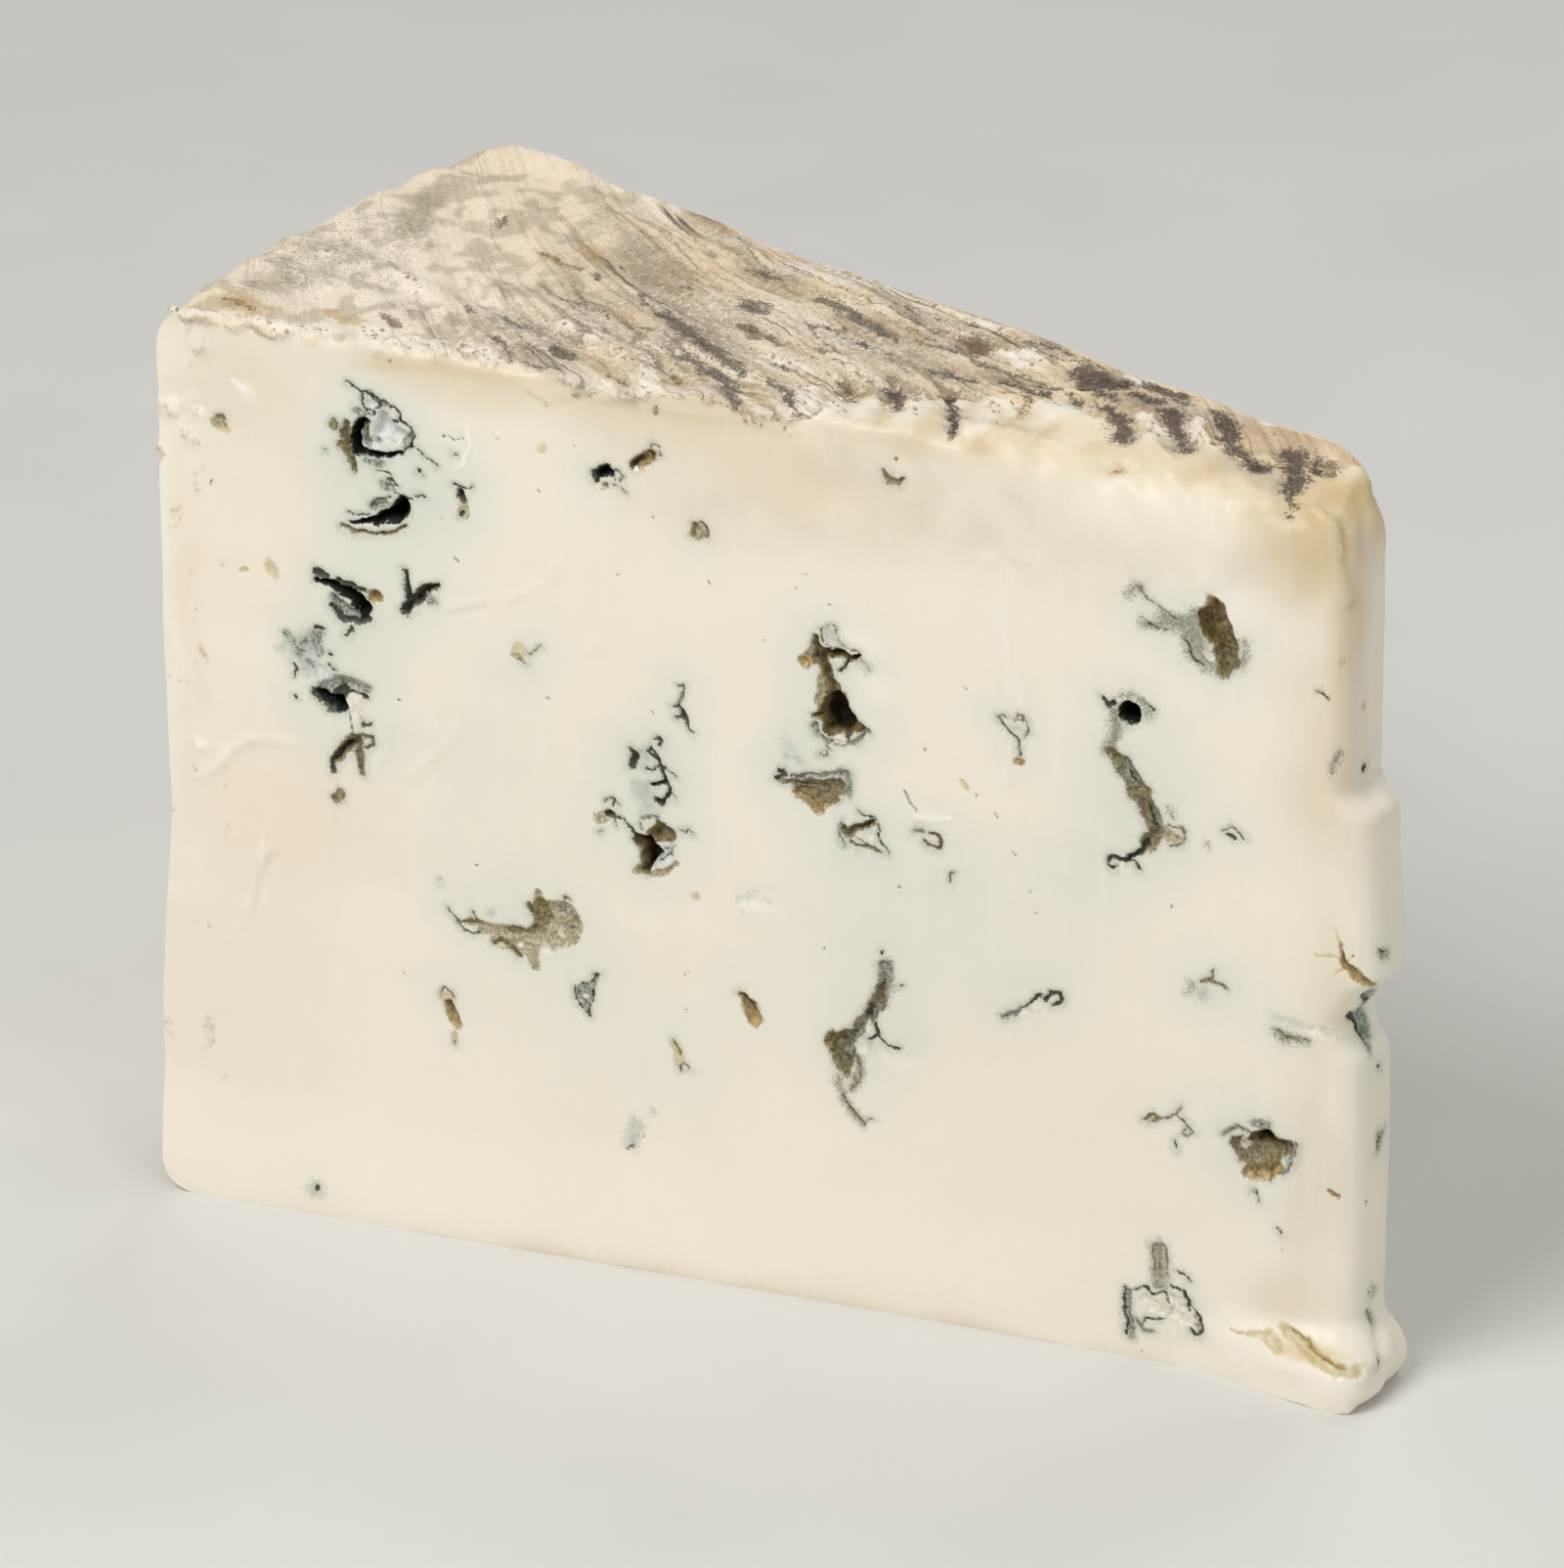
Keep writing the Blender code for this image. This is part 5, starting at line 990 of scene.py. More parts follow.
def first_box():
    """The coarse closed box of shares u, w and t, and its triangles, all facing outwards."""
    corners, faces = [], []
    for axis in range(3):
        one, two = (axis + 1) % 3, (axis + 2) % 3
        rows, columns = np.meshgrid(range(FIRST_CELLS[one]), range(FIRST_CELLS[two]), indexing="ij")
        for side in (0, 1):
            for step in ((0, 0, 1, 0, 1, 1), (0, 0, 1, 1, 0, 1)):
                shape = np.zeros((rows.size, 3, 3), int)
                shape[:, :, axis] = side * FIRST_CELLS[axis]
                for corner in range(3):
                    shape[:, corner, one] = rows.ravel() + step[2 * corner]
                    shape[:, corner, two] = columns.ravel() + step[2 * corner + 1]
                faces.append(shape if side else shape[:, ::-1])
    cells = np.concatenate(faces).reshape(-1, 3)
    points, index = np.unique(cells, axis=0, return_inverse=True)
    return points / np.array(FIRST_CELLS), index.reshape(-1, 3)


def refine(share, faces, wanted):
    """Halve every edge that is longer than wanted, and split the triangles to match."""
    turned = np.arange(3)
    for _ in range(REFINE_PASSES):
        place = plain_place(share)
        sides = np.sort(faces[:, [[0, 1], [1, 2], [2, 0]]].reshape(-1, 2), axis=1)
        edges, which = np.unique(sides, axis=0, return_inverse=True)
        middle = share[edges].mean(axis=1)
        length = np.linalg.norm(place[edges[:, 0]] - place[edges[:, 1]], axis=1)
        split = length > wanted(middle)
        if not split.any():
            break
        fresh = np.full(len(edges), -1)
        fresh[split] = len(share) + np.arange(split.sum())
        share = np.vstack([share, middle[split]])
        cut = fresh[which].reshape(-1, 3)
        count = (cut >= 0).sum(axis=1)
        # Turn each triangle so that a lone cut side is its first, and a lone whole side its last.
        lead = np.where(count == 1, np.argmax(cut, axis=1), (np.argmin(cut, axis=1) + 1) % 3)
        order = (turned + lead[:, None]) % 3
        tri = np.take_along_axis(faces, order, axis=1)
        cut = np.take_along_axis(cut, order, axis=1)
        a, b, c, m, n, p = *tri.T, *cut.T
        one, two, three = count == 1, count == 2, count == 3
        parts = [tri[count == 0]]
        for chosen, pattern in ((one, ((a, m, c), (m, b, c))),
                                (two, ((m, b, n), (a, m, n), (a, n, c))),
                                (three, ((a, m, p), (m, b, n), (p, n, c), (m, n, p)))):
            parts += [np.stack([v[chosen] for v in corner], axis=1) for corner in pattern]
        faces = np.concatenate(parts)
    return share, faces


ON_CUT = 0.8  # places less than this under a cut count as on it


def on_cut(place, back):
    """Distance along the skin from the rim, height, and depth behind the front or the back cut; the
    front's distance goes on round the broken tip."""
    x, y, z = place.T
    out = np.hypot(x, y)
    if back:
        return np.stack([WHEEL_RADIUS - out, z, np.maximum(behind_back(place) - ON_CUT, 0.0)], axis=1)
    inside = out - tip_at(z)
    along = WHEEL_RADIUS - out + np.maximum(y, 0.0) * smooth(4.0, 1.0, inside)
    return np.stack([along, z, np.maximum(np.minimum(y, inside) - ON_CUT, 0.0)], axis=1)


def places_near(face, spots, reach, depth):
    """Numbers of the places on a cut face that are near a mark's spots, and not deeper under it."""
    low, high = spots[:, :2].min(axis=0) - reach, spots[:, :2].max(axis=0) + reach
    return np.flatnonzero(((face[:, :2] > low) & (face[:, :2] < high)).all(axis=1) & (face[:, 2] < depth))


def nearest_mark(face, marks):
    """Distance to the nearest of many marks, as far as it matters; a soft mark counts as farther off."""
    gap = np.full(len(face), FAR_OFF)
    for mark in marks:
        spots = spots_of(mark)
        near = places_near(face, spots, NEAR_REACH, math.inf)
        off = SOFT_REACH if mark[0] in SOFT_KINDS else 0.0
        gap[near] = np.minimum(gap[near], mark_gap(face[near], spots) + off)
    return gap


def wanted_edge(share):
    """Longest edge to leave at these shares of the box, in millimetres."""
    u, w, t = share.T
    place = plain_place(share)
    wanted = np.full(len(share), BASE_EDGE)
    wanted[u == 1.0] = RIM_EDGE
    wanted[w == 1.0] = TOP_EDGE
    for side, marks, fine, plain in ((t == 0.0, FRONT_MARKS + NICK_MARKS, FINE_EDGE, PLAIN_EDGE),
                                     (t == 1.0, BACK_MARKS, BACK_FINE_EDGE, BACK_EDGE)):
        face = on_cut(place[side], marks is BACK_MARKS)
        gap = nearest_mark(face, marks) - FINE_REACH
        size = np.clip(fine + EDGE_GROWTH * gap, fine, plain)
        if marks is not BACK_MARKS:
            ridges = tuple(("ridge", 0.0, 0.0, *spots) for _, _, *spots in FRONT_RIDGES)
            size = np.minimum(size, np.maximum(RIDGE_EDGE, RIDGE_GROWTH * nearest_mark(face, ridges)))
        near_top = smooth(TIP_SHOULDER, 1.0, WHEEL_HEIGHT - face[:, 1])
        wanted[side] = np.minimum(size, plain + (TOP_EDGE - plain) * near_top)
    tip = u == 0.0
    gap = nearest_mark(on_cut(place[tip], False), FRONT_MARKS) - FINE_REACH
    wanted[tip] = np.clip(TIP_FINE_EDGE + EDGE_GROWTH * gap, TIP_FINE_EDGE, TIP_EDGE)
    return wanted


NICK_MARKS = tuple(
    ("olive", 0.1, 0.07, (a, z), (a + 0.4 * math.cos(a * 7.0), z + 0.35 * math.sin(a * 3.0)))
    for a, z in NICKS
)


def leaning(place):
    """Distance from the rim, and distance behind the square front edge, leaning down over it."""
    x, y, z = place.T
    drop = WHEEL_HEIGHT - z
    return np.stack([WHEEL_RADIUS + x + LEAN_ALONG * drop, y - LEAN_OUT * drop], axis=1)


def behind_back(place):
    """Distance in front of the back cut, in millimetres."""
    return -(place[:, 0] * math.sin(WEDGE_ANGLE) + place[:, 1] * math.cos(WEDGE_ANGLE))


# The edge of the rind: how ragged it is, how far it keeps from the other edges of the cheese, and
# how squarely down skin faces where the base's rind starts and is whole.
RAGGED_REACH = 1.3
RAGGED_SIZE = 2.4
FINE_RAGGED_REACH = 0.6
FINE_RAGGED_SIZE = 0.8
BACK_RAGGED_REACH = 1.2
BACK_RAGGED_SIZE = 5.0
BACK_RIND_DROP = 0.8
TIP_RIND_IN = 1.0
RIM_RIND_IN = 0.9
RIM_RIND_DEPTH = 6.0
BASE_RIND_IN = 3.0
BASE_RIND_WIDTH = 1.2
BASE_FACING = (0.85, 0.99)


def rind_distance(place, facing_down):
    """Distance above the edge of the rind, along the skin, in millimetres."""
    x, y, z = place.T
    out = np.hypot(x, y)
    back = behind_back(place)
    ragged = RAGGED_REACH * grain(place, RAGGED_SIZE)
    ragged += FINE_RAGGED_REACH * grain(place, FINE_RAGGED_SIZE, 31.0)
    lean = leaning(place)
    over_front = lean[:, 1] - np.interp(lean[:, 0], *np.array(RIND_EDGE).T)
    over_back = back + z - WHEEL_HEIGHT + BACK_RIND_DROP
    over_back += BACK_RAGGED_REACH * grain(place, BACK_RAGGED_SIZE, 149.0)
    over_tip = out - TIP_RADIUS - TIP_LEAN + z - WHEEL_HEIGHT - TIP_RIND_IN
    top = np.minimum(np.minimum(over_front, over_back), over_tip)
    rim = np.minimum(np.minimum(y, back) - RIM_RIND_IN, out - WHEEL_RADIUS + RIM_RIND_DEPTH)
    under = BASE_RIND_WIDTH * (smooth(*BASE_FACING, facing_down) - 0.5)
    base = np.minimum(np.minimum(y, back) - BASE_RIND_IN, under)
    return np.maximum(np.maximum(top, rim) + ragged, base)


# How steeply the streaks of the top rind run towards the front, by distance from the rim.
STREAK_SLOPE = ((0.0, -2.4), (15.0, -1.9), (25.0, -1.4), (35.0, -1.0), (46.0, -0.7), (60.0, -0.58),
                (85.0, -0.6), (95.0, -1.5), (130.0, -1.9))
SLOPE_STEP = 0.5
STREAK_GAUGE = 0.75
STREAK_WAVER = 0.7
STREAK_WAVER_LENGTH = 6.0
GROOVE_THINNESS = 2.6


def streak_place(place):
    """Places told along the streaks of the rind, across them, and up."""
    a = WHEEL_RADIUS + place[:, 0]
    steps = np.arange(-5.0, 140.0, SLOPE_STEP)
    fall = np.cumsum(np.interp(steps, *np.array(STREAK_SLOPE).T)) * SLOPE_STEP
    across = (place[:, 1] - np.interp(a, steps, fall)) * STREAK_GAUGE
    across += STREAK_WAVER * grain(place, STREAK_WAVER_LENGTH, 3.0)
    return np.stack([a, across, place[:, 2]], axis=1)


def streaks(flow, length, spacing, shift):
    """Ridged noise drawn out along the streaks of the rind: 1 in a groove, 0 between."""
    drawn = flow / np.array([length, spacing, length])
    return smooth(0.72, 0.98, 1.0 - GROOVE_THINNESS * abs(grain(drawn, 1.0, shift)))


def linear(code):
    """Linear colour of an sRGB hex code, as an array."""
    return np.array(shade(code)[:3])


def wash(colours, code, share):
    """Mix a colour into the colours of many places, by each one's own share."""
    colours += (linear(code) - colours) * share[:, None]


def lay_tints(colours, tints, where, keep):
    """Lay soft patches of colour, one after another, over the colours of many places."""
    for code, a, b, half_a, half_b, amount in tints:
        off = np.hypot((where[:, 0] - a) / half_a, (where[:, 1] - b) / half_b)
        wash(colours, code, amount * (1.0 - smooth(0.1, 1.2, off)) * keep)


def cover(gap, soft):
    """How fully a mark with a soft outline covers places, by their distance to the outline."""
    return np.clip(0.5 - gap / (2.0 * soft), 0.0, 1.0)


def lay_cut_marks(place, warp, fields):
    """Lay the marks of both cuts into the fields; gives how deep they sink the skin, and the blue
    haze in the paste round them."""
    sunk, haze = np.zeros(len(place)), np.zeros(len(place))
    floor = 1.0 + FLOOR_ROUGHNESS * grain(place, FLOOR_LUMPS, 53.0)
    for marks, back in ((FRONT_MARKS + NICK_MARKS, False), (BACK_MARKS, True)):
        face = on_cut(place, back)
        face[:, :2] += warp
        for mark in marks:
            kind, depth = mark[:2]
            spots = spots_of(mark)
            widest = spots[:, 2].max()
            near = places_near(face, spots, MARK_REACH, MARK_DEPTH)
            gap = mark_gap(face[near], spots)
            soft = min(LEAST_SOFTNESS + SOFTNESS_PER_RADIUS * widest, EDGE_SOFTNESS)
            if kind in SOFT_KINDS:
                soft = VEIL_SOFTNESS
            fields[kind][near] = np.maximum(fields[kind][near], cover(gap, soft))
            off = np.maximum(gap, 0.0)
            if kind in DARK_KINDS and depth > STAIN_DEPTH:
                fields["smudge"][near] = np.maximum(fields["smudge"][near], np.exp(-off / SMUDGE_REACH))
                glow = HAZE_AMOUNT * np.exp(-off / (HAZE_REACH + widest)) * (gap < HAZE_END)
                haze[near] = np.maximum(haze[near], glow)
            if depth > 0.0:
                wall = min(WALL_WIDTH, WALL_PER_RADIUS * widest)
                sunk[near] = np.maximum(sunk[near], depth * smooth(WALL_START, wall, -gap) * floor[near])
    return sunk, haze


def ridge_height(face):
    """How high the ridges of the front paste stand, less than 0 in its cracks."""
    raised = np.zeros(len(face))
    for height, half, *spots in FRONT_RIDGES:
        spots = spots_of(("ridge", 0.0, 0.0, *spots))
        near = places_near(face, spots, RIDGE_REACH, CUT_DEPTH)
        raised[near] += height * np.exp(-(mark_gap(face[near], spots) / half) ** 2)
    return raised


def lay_top_marks(marked, worn, fields):
    """Lay the blotches of the top into the fields; gives how far they fold the worn edge."""
    fold = np.zeros(len(marked))
    for kind, radius, *spots in TOP_MARKS:
        gap = mark_gap(marked, spots_of((kind, 0.0, radius, *spots)))
        soft = min(TOP_LEAST_SOFTNESS + TOP_SOFTNESS_PER_RADIUS * radius, TOP_SOFTNESS)
        fields[kind] = np.maximum(fields[kind], cover(gap, soft) * worn)
        if kind in FOLD_KINDS:
            fold = np.maximum(fold, np.exp(-(np.maximum(gap, 0.0) / FOLD_WIDTH) ** 2))
    return fold


def rind_colours(place, lean, worn):
    """Colours of the rind: its tints on the top, and mottled grey, dust and a brown foot on the rim."""
    rind = np.tile(linear(DRY_RIND), (len(place), 1))
    lay_tints(rind, TOP_TINTS, lean, worn)
    mottle = grain(place, BLOTCH_SIZE, 131.0) + BLOTCH_GRAIN * grain(place, BLOTCH_GRAIN_SIZE, 137.0)
    near_rim = smooth(BLOTCH_END, BLOTCH_START, WHEEL_RADIUS + place[:, 0])
    wash(rind, GREY_RIND, BLOTCH_AMOUNT * smooth(0.0, 0.28, mottle) * near_rim)
    lower = smooth(WHEEL_HEIGHT, WHEEL_HEIGHT - UPPER_RIM, place[:, 2])
    wash(rind, CREAM_RIND, DUST_AMOUNT * smooth(-0.1, 0.3, grain(place, DUST_SIZE, 151.0)) * lower)
    wash(rind, FOOT_RIND, smooth(FOOT_RIND_TOP, FOOT_RIND_FULL, place[:, 2]))
    return rind


def skin_fields(place):
    """How far the skin is sunk and raised at each place, how much each finish covers it, and the
    colours of its paste and rind."""
    x, y, z = place.T
    fields = {kind: np.zeros(len(place)) for kind in PASTE_KINDS + RIND_KINDS + ("smudge",)}
    warp = np.stack([grain(place, WARP_SIZE, shift) for shift in (5.0, 17.0)], axis=1)
    fine = np.stack([grain(place, FINE_WARP_SIZE, shift) for shift in (23.0, 41.0)], axis=1)
    sunk, haze = lay_cut_marks(place, WARP_REACH * warp + FINE_WARP_REACH * fine, fields)
    face = on_cut(place, False)
    lean = leaning(place)
    marked = lean + TOP_WARP_REACH * warp + TOP_FINE_WARP_REACH * fine
    worn = ((y < WORN_BACK) | (z > WHEEL_HEIGHT - FLAT_TOP)) & (z > WHEEL_HEIGHT - WORN_DROP)
    worn = worn & (behind_back(place) > 0.5)
    fold = lay_top_marks(marked, worn, fields)
    paste = np.tile(linear(PASTE), (len(place), 1))
    wash(paste, HAZE, haze)
    cloudy = np.stack([grain(place, TINT_WARP_SIZE, shift) for shift in (61.0, 67.0)], axis=1)
    on_front = (face[:, 2] < CUT_DEPTH) | (face[:, 0] > WHEEL_RADIUS - TIP_RADIUS - TIP_LEAN - 1.0)
    lay_tints(paste, FRONT_TINTS, face[:, :2] + TINT_WARP_REACH * cloudy, on_front)
    lay_tints(paste, EDGE_TINTS, marked, worn)
    rind = rind_colours(place, lean + TOP_TINT_WARP_REACH * warp, worn)
    zone = worn * smooth(FOLDS_START, FOLDS_FULL, lean[:, 0])
    zone = zone * smooth(*FOLDS_BACK, lean[:, 1])
    drawn = np.stack([lean[:, 0] + lean[:, 1] / FOLD_SLOPE, lean[:, 1] / FOLD_STRETCH, 0.0 * fold], axis=1)
    folds = zone * (FOLD_LOBES * grain(drawn, FOLD_LOBE_SIZE, 139.0) - FOLD_DEPTH * fold)
    return sunk, ridge_height(face) + folds, fields, paste, rind


def outward(place, faces):
    """Faces turned to look outwards, and the direction out of the skin at each place."""
    ends = place[faces]
    normal = np.cross(ends[:, 1] - ends[:, 0], ends[:, 2] - ends[:, 0])
    if (normal * ends.mean(axis=1)).sum() < (normal * place.mean(axis=0)).sum():
        faces, normal = faces[:, ::-1], -normal
    out = np.zeros_like(place)
    for corner in range(3):
        np.add.at(out, faces[:, corner], normal)
    return faces, out / np.linalg.norm(out, axis=1)[:, None]


def grow_skin():
    """The whole cheese as one closed skin, its finishes kept as named values on its points."""
    share, faces = refine(*first_box(), wanted_edge)
    place = settle(plain_place(share))
    faces, out = outward(place, faces)
    sunk, raised, fields, paste, rind_colour = skin_fields(place)
    rind = rind_distance(place, -out[:, 2])
    crust = smooth(-0.5, 0.8, rind)
    level = abs(out[:, 2])
    lean = leaning(place)
    middle = smooth(*STREAKS_GROW, WHEEL_RADIUS + place[:, 0])
    calm = smooth(0.0, CALM_WIDTH, behind_back(place))
    upper = smooth(WHEEL_HEIGHT - 20.0, WHEEL_HEIGHT - 12.0, place[:, 2])
    end = smooth(*STREAKS_FADE, lean[:, 0])

    # Streaks and crumbs of the rind, and what its mould and bloom add.
    flow = streak_place(place)
    patchy = smooth(-0.35, 0.35, grain(place, 8.0, 71.0))
    groove = streaks(flow, STREAK_LENGTH, STREAK_SPACING, 3.0) * (0.3 + 0.7 * patchy) * (0.3 + 0.7 * middle)
    crumbs = grain(place, CRUMB_SIZE, 91.0) + 0.6 * grain(place, 0.55 * CRUMB_SIZE, 97.0)
    high = (CRUMB_RELIEF * crumbs * (0.5 + 0.5 * middle) - STREAK_DEPTH * groove) * crust * level * calm
    mould = BLOOM_HEIGHT * fields["bloom"] - SMUT_DEPTH * (fields["soot"] + fields["smut"])
    high += (mould - UMBER_DEPTH * fields["umber"]) * (0.5 + 0.5 * crumbs)
    high += RIM_RELIEF * grain(place, RIM_LUMPS, 109.0) * crust * (1.0 - level)

    # Waves of the paste, lumps of the lip, and the scalloped crust that the rind ends in.
    waves = PASTE_WAVE * grain(place, PASTE_WAVE_LENGTH, 103.0)
    waves += PASTE_RIPPLE * grain(place, PASTE_RIPPLE_LENGTH, 107.0)
    high += waves * (1.0 - crust)
    lip = smooth(LIP_START - 4.0, LIP_START + 4.0, WHEEL_RADIUS + place[:, 0])
    lip = lip * smooth(*LIP_LUMPS_END, place[:, 2])
    high += LIP_LUMPS * grain(place, LIP_LUMP_SIZE, 119.0) * lip * (1.0 - crust)
    scallop = np.exp(-((rind - SCALLOP_AT) / SCALLOP_WIDTH) ** 2) * upper * calm
    high += CRUST_BULGE * scallop * (0.6 + 1.2 * grain(place, SCALLOP_SIZE, 113.0))
    along = smooth(4.0, 12.0, lean[:, 0]) * smooth(74.0, 66.0, lean[:, 0]) * upper
    edging = along * np.exp(-((rind - CRUST_WIDTH) / CRUST_WIDTH) ** 2)
    wash(rind_colour, CRUST_RIND, CRUST_PALENESS * edging * smooth(-0.4, 0.1, grain(place, 3.0, 141.0)))
    place = place + out * (high + raised - sunk)[:, None]
    place[:, 2] = np.maximum(place[:, 2], 0.0)

    # Where the rind is gritty, and where it is drawn out in fibres.
    grit = 0.2 + 0.2 * middle * end
    for a, b, half_a, half_b, amount in GRIT_PATCHES:
        off = np.hypot((lean[:, 0] - a) / half_a, (lean[:, 1] - b) / half_b)
        grit = np.maximum(grit, amount * (1.0 - smooth(0.2, 1.2, off)))
    grit = np.maximum(grit, RIM_GRIT * (1.0 - level)) * (1.0 - 0.7 * fields["bloom"])
    front_band = bell(50.0, 34.0, lean[:, 0]) * smooth(20.0, 6.0, lean[:, 1])
    fibre = (0.12 + 0.5 * middle) * (0.4 + 0.6 * end) * (1.0 - 0.4 * front_band)
    fields.update(rind=rind, groove=groove * (0.3 + 0.7 * middle), sunk=sunk, grit=grit, fibre=fibre)
    return place, faces, fields, flow, paste, rind_colour


def set_down(place):
    """Places round the wheel's axis, in millimetres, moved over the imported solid, in metres."""
    low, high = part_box(NODE)
    axis_x = low.x + (WHEEL_RADIUS + RIM_BULGE) * MM
    front_y = low.y + LIP_REACH * MM
    return place * MM + np.array([axis_x, front_y, 0.0])


def new_piece(name, place, faces, material):
    """A mesh object of these places, in metres, and faces."""
    mesh = bpy.data.meshes.new(name)
    mesh.from_pydata(place.tolist(), [], faces.tolist())
    mesh.validate()
    mesh.shade_smooth()
    mesh.set_sharp_from_angle(angle=SHARP_TURN)
    mesh.materials.append(material)
    piece = bpy.data.objects.new(name, mesh)
    bpy.context.scene.collection.objects.link(piece)
    return piece


def give(tree, node, inputs):
    """Give a node's inputs their values or links; a node given as an input stands for its result."""
    for key, value in dict(inputs).items():
        if isinstance(value, bpy.types.Node):
            value = value.outputs[COLOUR_RESULT if getattr(value, "data_type", "") == "RGBA" else 0]
        if isinstance(value, bpy.types.NodeSocket):
            tree.links.new(value, node.inputs[key])
        else:
            node.inputs[key].default_value = value


def add(tree, kind, inputs=(), **settings):
    """Add a node with its settings and links."""
    node = tree.nodes.new(kind)
    for name, value in settings.items():
        setattr(node, name, value)
    give(tree, node, inputs)
    return node


def shade(code):
    """Linear colour of an sRGB hex code."""
    parts = [int(code[i:i + 2], 16) / 255.0 for i in (1, 3, 5)]
    return (*[c / 12.92 if c <= 0.04045 else ((c + 0.055) / 1.055) ** 2.4 for c in parts], 1.0)


# Kinds of node, and where two colours mixed come out.
MATH = "ShaderNodeMath"
MIX = "ShaderNodeMix"
NOISE = "ShaderNodeTexNoise"
RANGE = "ShaderNodeMapRange"
STRETCH = "ShaderNodeMapping"
VALUE = "ShaderNodeAttribute"
RANDOM = "FunctionNodeRandomValue"
COLOUR_RESULT = 2


def per_mm(size):
    """Noise scale that gives lumps of this size, in millimetres, on coordinates in metres."""
    return 1.0 / (size * MM)


# Finishes laid over the paste, one over another.  Each has the value that says where it lies, two
# colours that it wavers between, the size of that waver and of the ragged grain of its edge, how
# ragged it is, how much value it needs, the softness of its edge, how fully it covers, and its
# roughness.
PASTE_COATS = (
    ("smudge", "#c3c3b0", "#a4a491", 0.9, 0.30, 0.8, 0.62, 0.60, 0.45, 0.50),
    ("veil", "#ced1c7", "#b2b5ab", 1.1, 0.40, 1.0, 0.52, 0.80, 0.75, 0.50),
    ("honey", "#d9caa2", "#c8b587", 0.9, 0.40, 0.8, 0.47, 0.60, 0.75, 0.40),
    ("moss", "#a8a68e", "#6c6a52", 0.38, 0.22, 1.3, 0.44, 0.60, 0.82, 0.55),
    ("sponge", "#c9be9d", "#82764f", 0.38, 0.22, 1.0, 0.48, 0.45, 0.88, 0.42),
    ("amber", "#c0a259", "#7d6030", 0.55, 0.25, 0.9, 0.46, 0.40, 0.88, 0.35),
    ("olive", "#9a8c60", "#4e4122", 0.40, 0.20, 0.9, 0.48, 0.32, 0.90, 0.45),
    ("hollow", "#84733f", "#4b3d1f", 0.7, 0.25, 0.7, 0.46, 0.25, 0.95, 0.50),
    # sunk: painted shade, dark brown laid deeper in a pocket the farther it is sunk
    ("sunk", "#3b301a", "#1e180c", 1.0, 0.40, 1.0, 1.75, 1.30, 0.92, 0.50),
    ("fuzz", "#b9bbae", "#54574a", 0.36, 0.20, 1.2, 0.50, 0.50, 0.86, 0.85),
    ("down", "#e4e7e2", "#c3c7be", 0.7, 0.25, 0.8, 0.47, 0.25, 0.95, 0.85),
    ("crust", "#45452f", "#1c1b12", 0.5, 0.22, 1.0, 0.50, 0.22, 0.92, 0.65),
    ("curd", "#f4efe1", "#dad4c1", 0.6, 0.30, 0.8, 0.50, 0.25, 0.88, 0.40),
    ("fleck", "#fdf9f0", "#f8f1e2", 0.6, 0.30, 0.6, 0.45, 0.35, 0.85, 0.30),
    # void: painted shade, the inside of a deep hole laid near black
    ("void", "#14130e", "#090907", 0.9, 0.30, 0.5, 0.50, 0.15, 0.98, 0.60),
)
RIND_COATS = (
    ("ochre", "#ceb084", "#a88a5c", 1.2, 0.5, 2.2, 0.62, 1.00, 0.62, 0.85),
    ("bloom", "#f7efe1", "#eadfcd", 1.6, 0.6, 1.2, 0.45, 0.50, 0.80, 0.90),
    ("groove", "#86745d", "#5f4f3f", 1.8, 0.45, 1.6, 0.60, 0.50, 0.60, 0.88),
)
# These lie over the rind and run on over the worn paste.
OVER_COATS = (
    ("umber", "#86694a", "#503b26", 0.8, 0.30, 2.0, 0.56, 0.60, 0.78, 0.80),
    ("smut", "#7b7264", "#3f382f", 0.6, 0.28, 2.2, 0.55, 0.45, 0.85, 0.85),
    ("soot", "#57463f", "#261d1b", 0.9, 0.36, 1.9, 0.50, 0.80, 0.88, 0.75),
)


# Noise that the layers of the rind follow: how it is laid, the size of its lumps in millimetres and
# its detail.
RIND_NOISES = (
    ("fibres", "drawn", 1.1, 5.0),
    ("smudges", "loose", 4.0, 4.0),
    ("grains", "even", 0.75, 4.0),
    ("stipple", "even", 0.32, 2.0),
    ("threads", "drawn", 2.6, 3.0),
    ("breaks", "loose", 5.0, 3.0),
)
# Layers of the rind under its mould, one over another: the noise that each follows, the values of
# the noise where it starts and is full, how fully it covers, the value that says where, its colour
# and how it is mixed in.
RIND_LAYERS = (
    ("fibres", 0.54, 0.66, 0.70, "fibre", "#f6eddc", "MIX"),
    ("fibres", 0.49, 0.36, 1.00, "fibre", "#b4a38a", "MULTIPLY"),
    ("patches", 0.80, 0.96, 1.00, "fibre", "#85765f", "MIX"),
    ("grains", 0.52, 0.62, 0.80, "grit", "#f6ecdb", "MIX"),
    ("stipple", 0.43, 0.33, 0.85, "grit", "#6b5a48", "MIX"),
)
STIPPLE_IN_PATCHES = 0.6
THREAD_COLOUR = "#54453a"
THREAD_HALF = 0.022  # a thread runs where its noise is this near its middle
THREAD_AMOUNT = 0.9
THREAD_BREAKS = (0.47, 0.58)
THREAD_FIBRE = 0.5  # threads are whole where the rind is this stringy
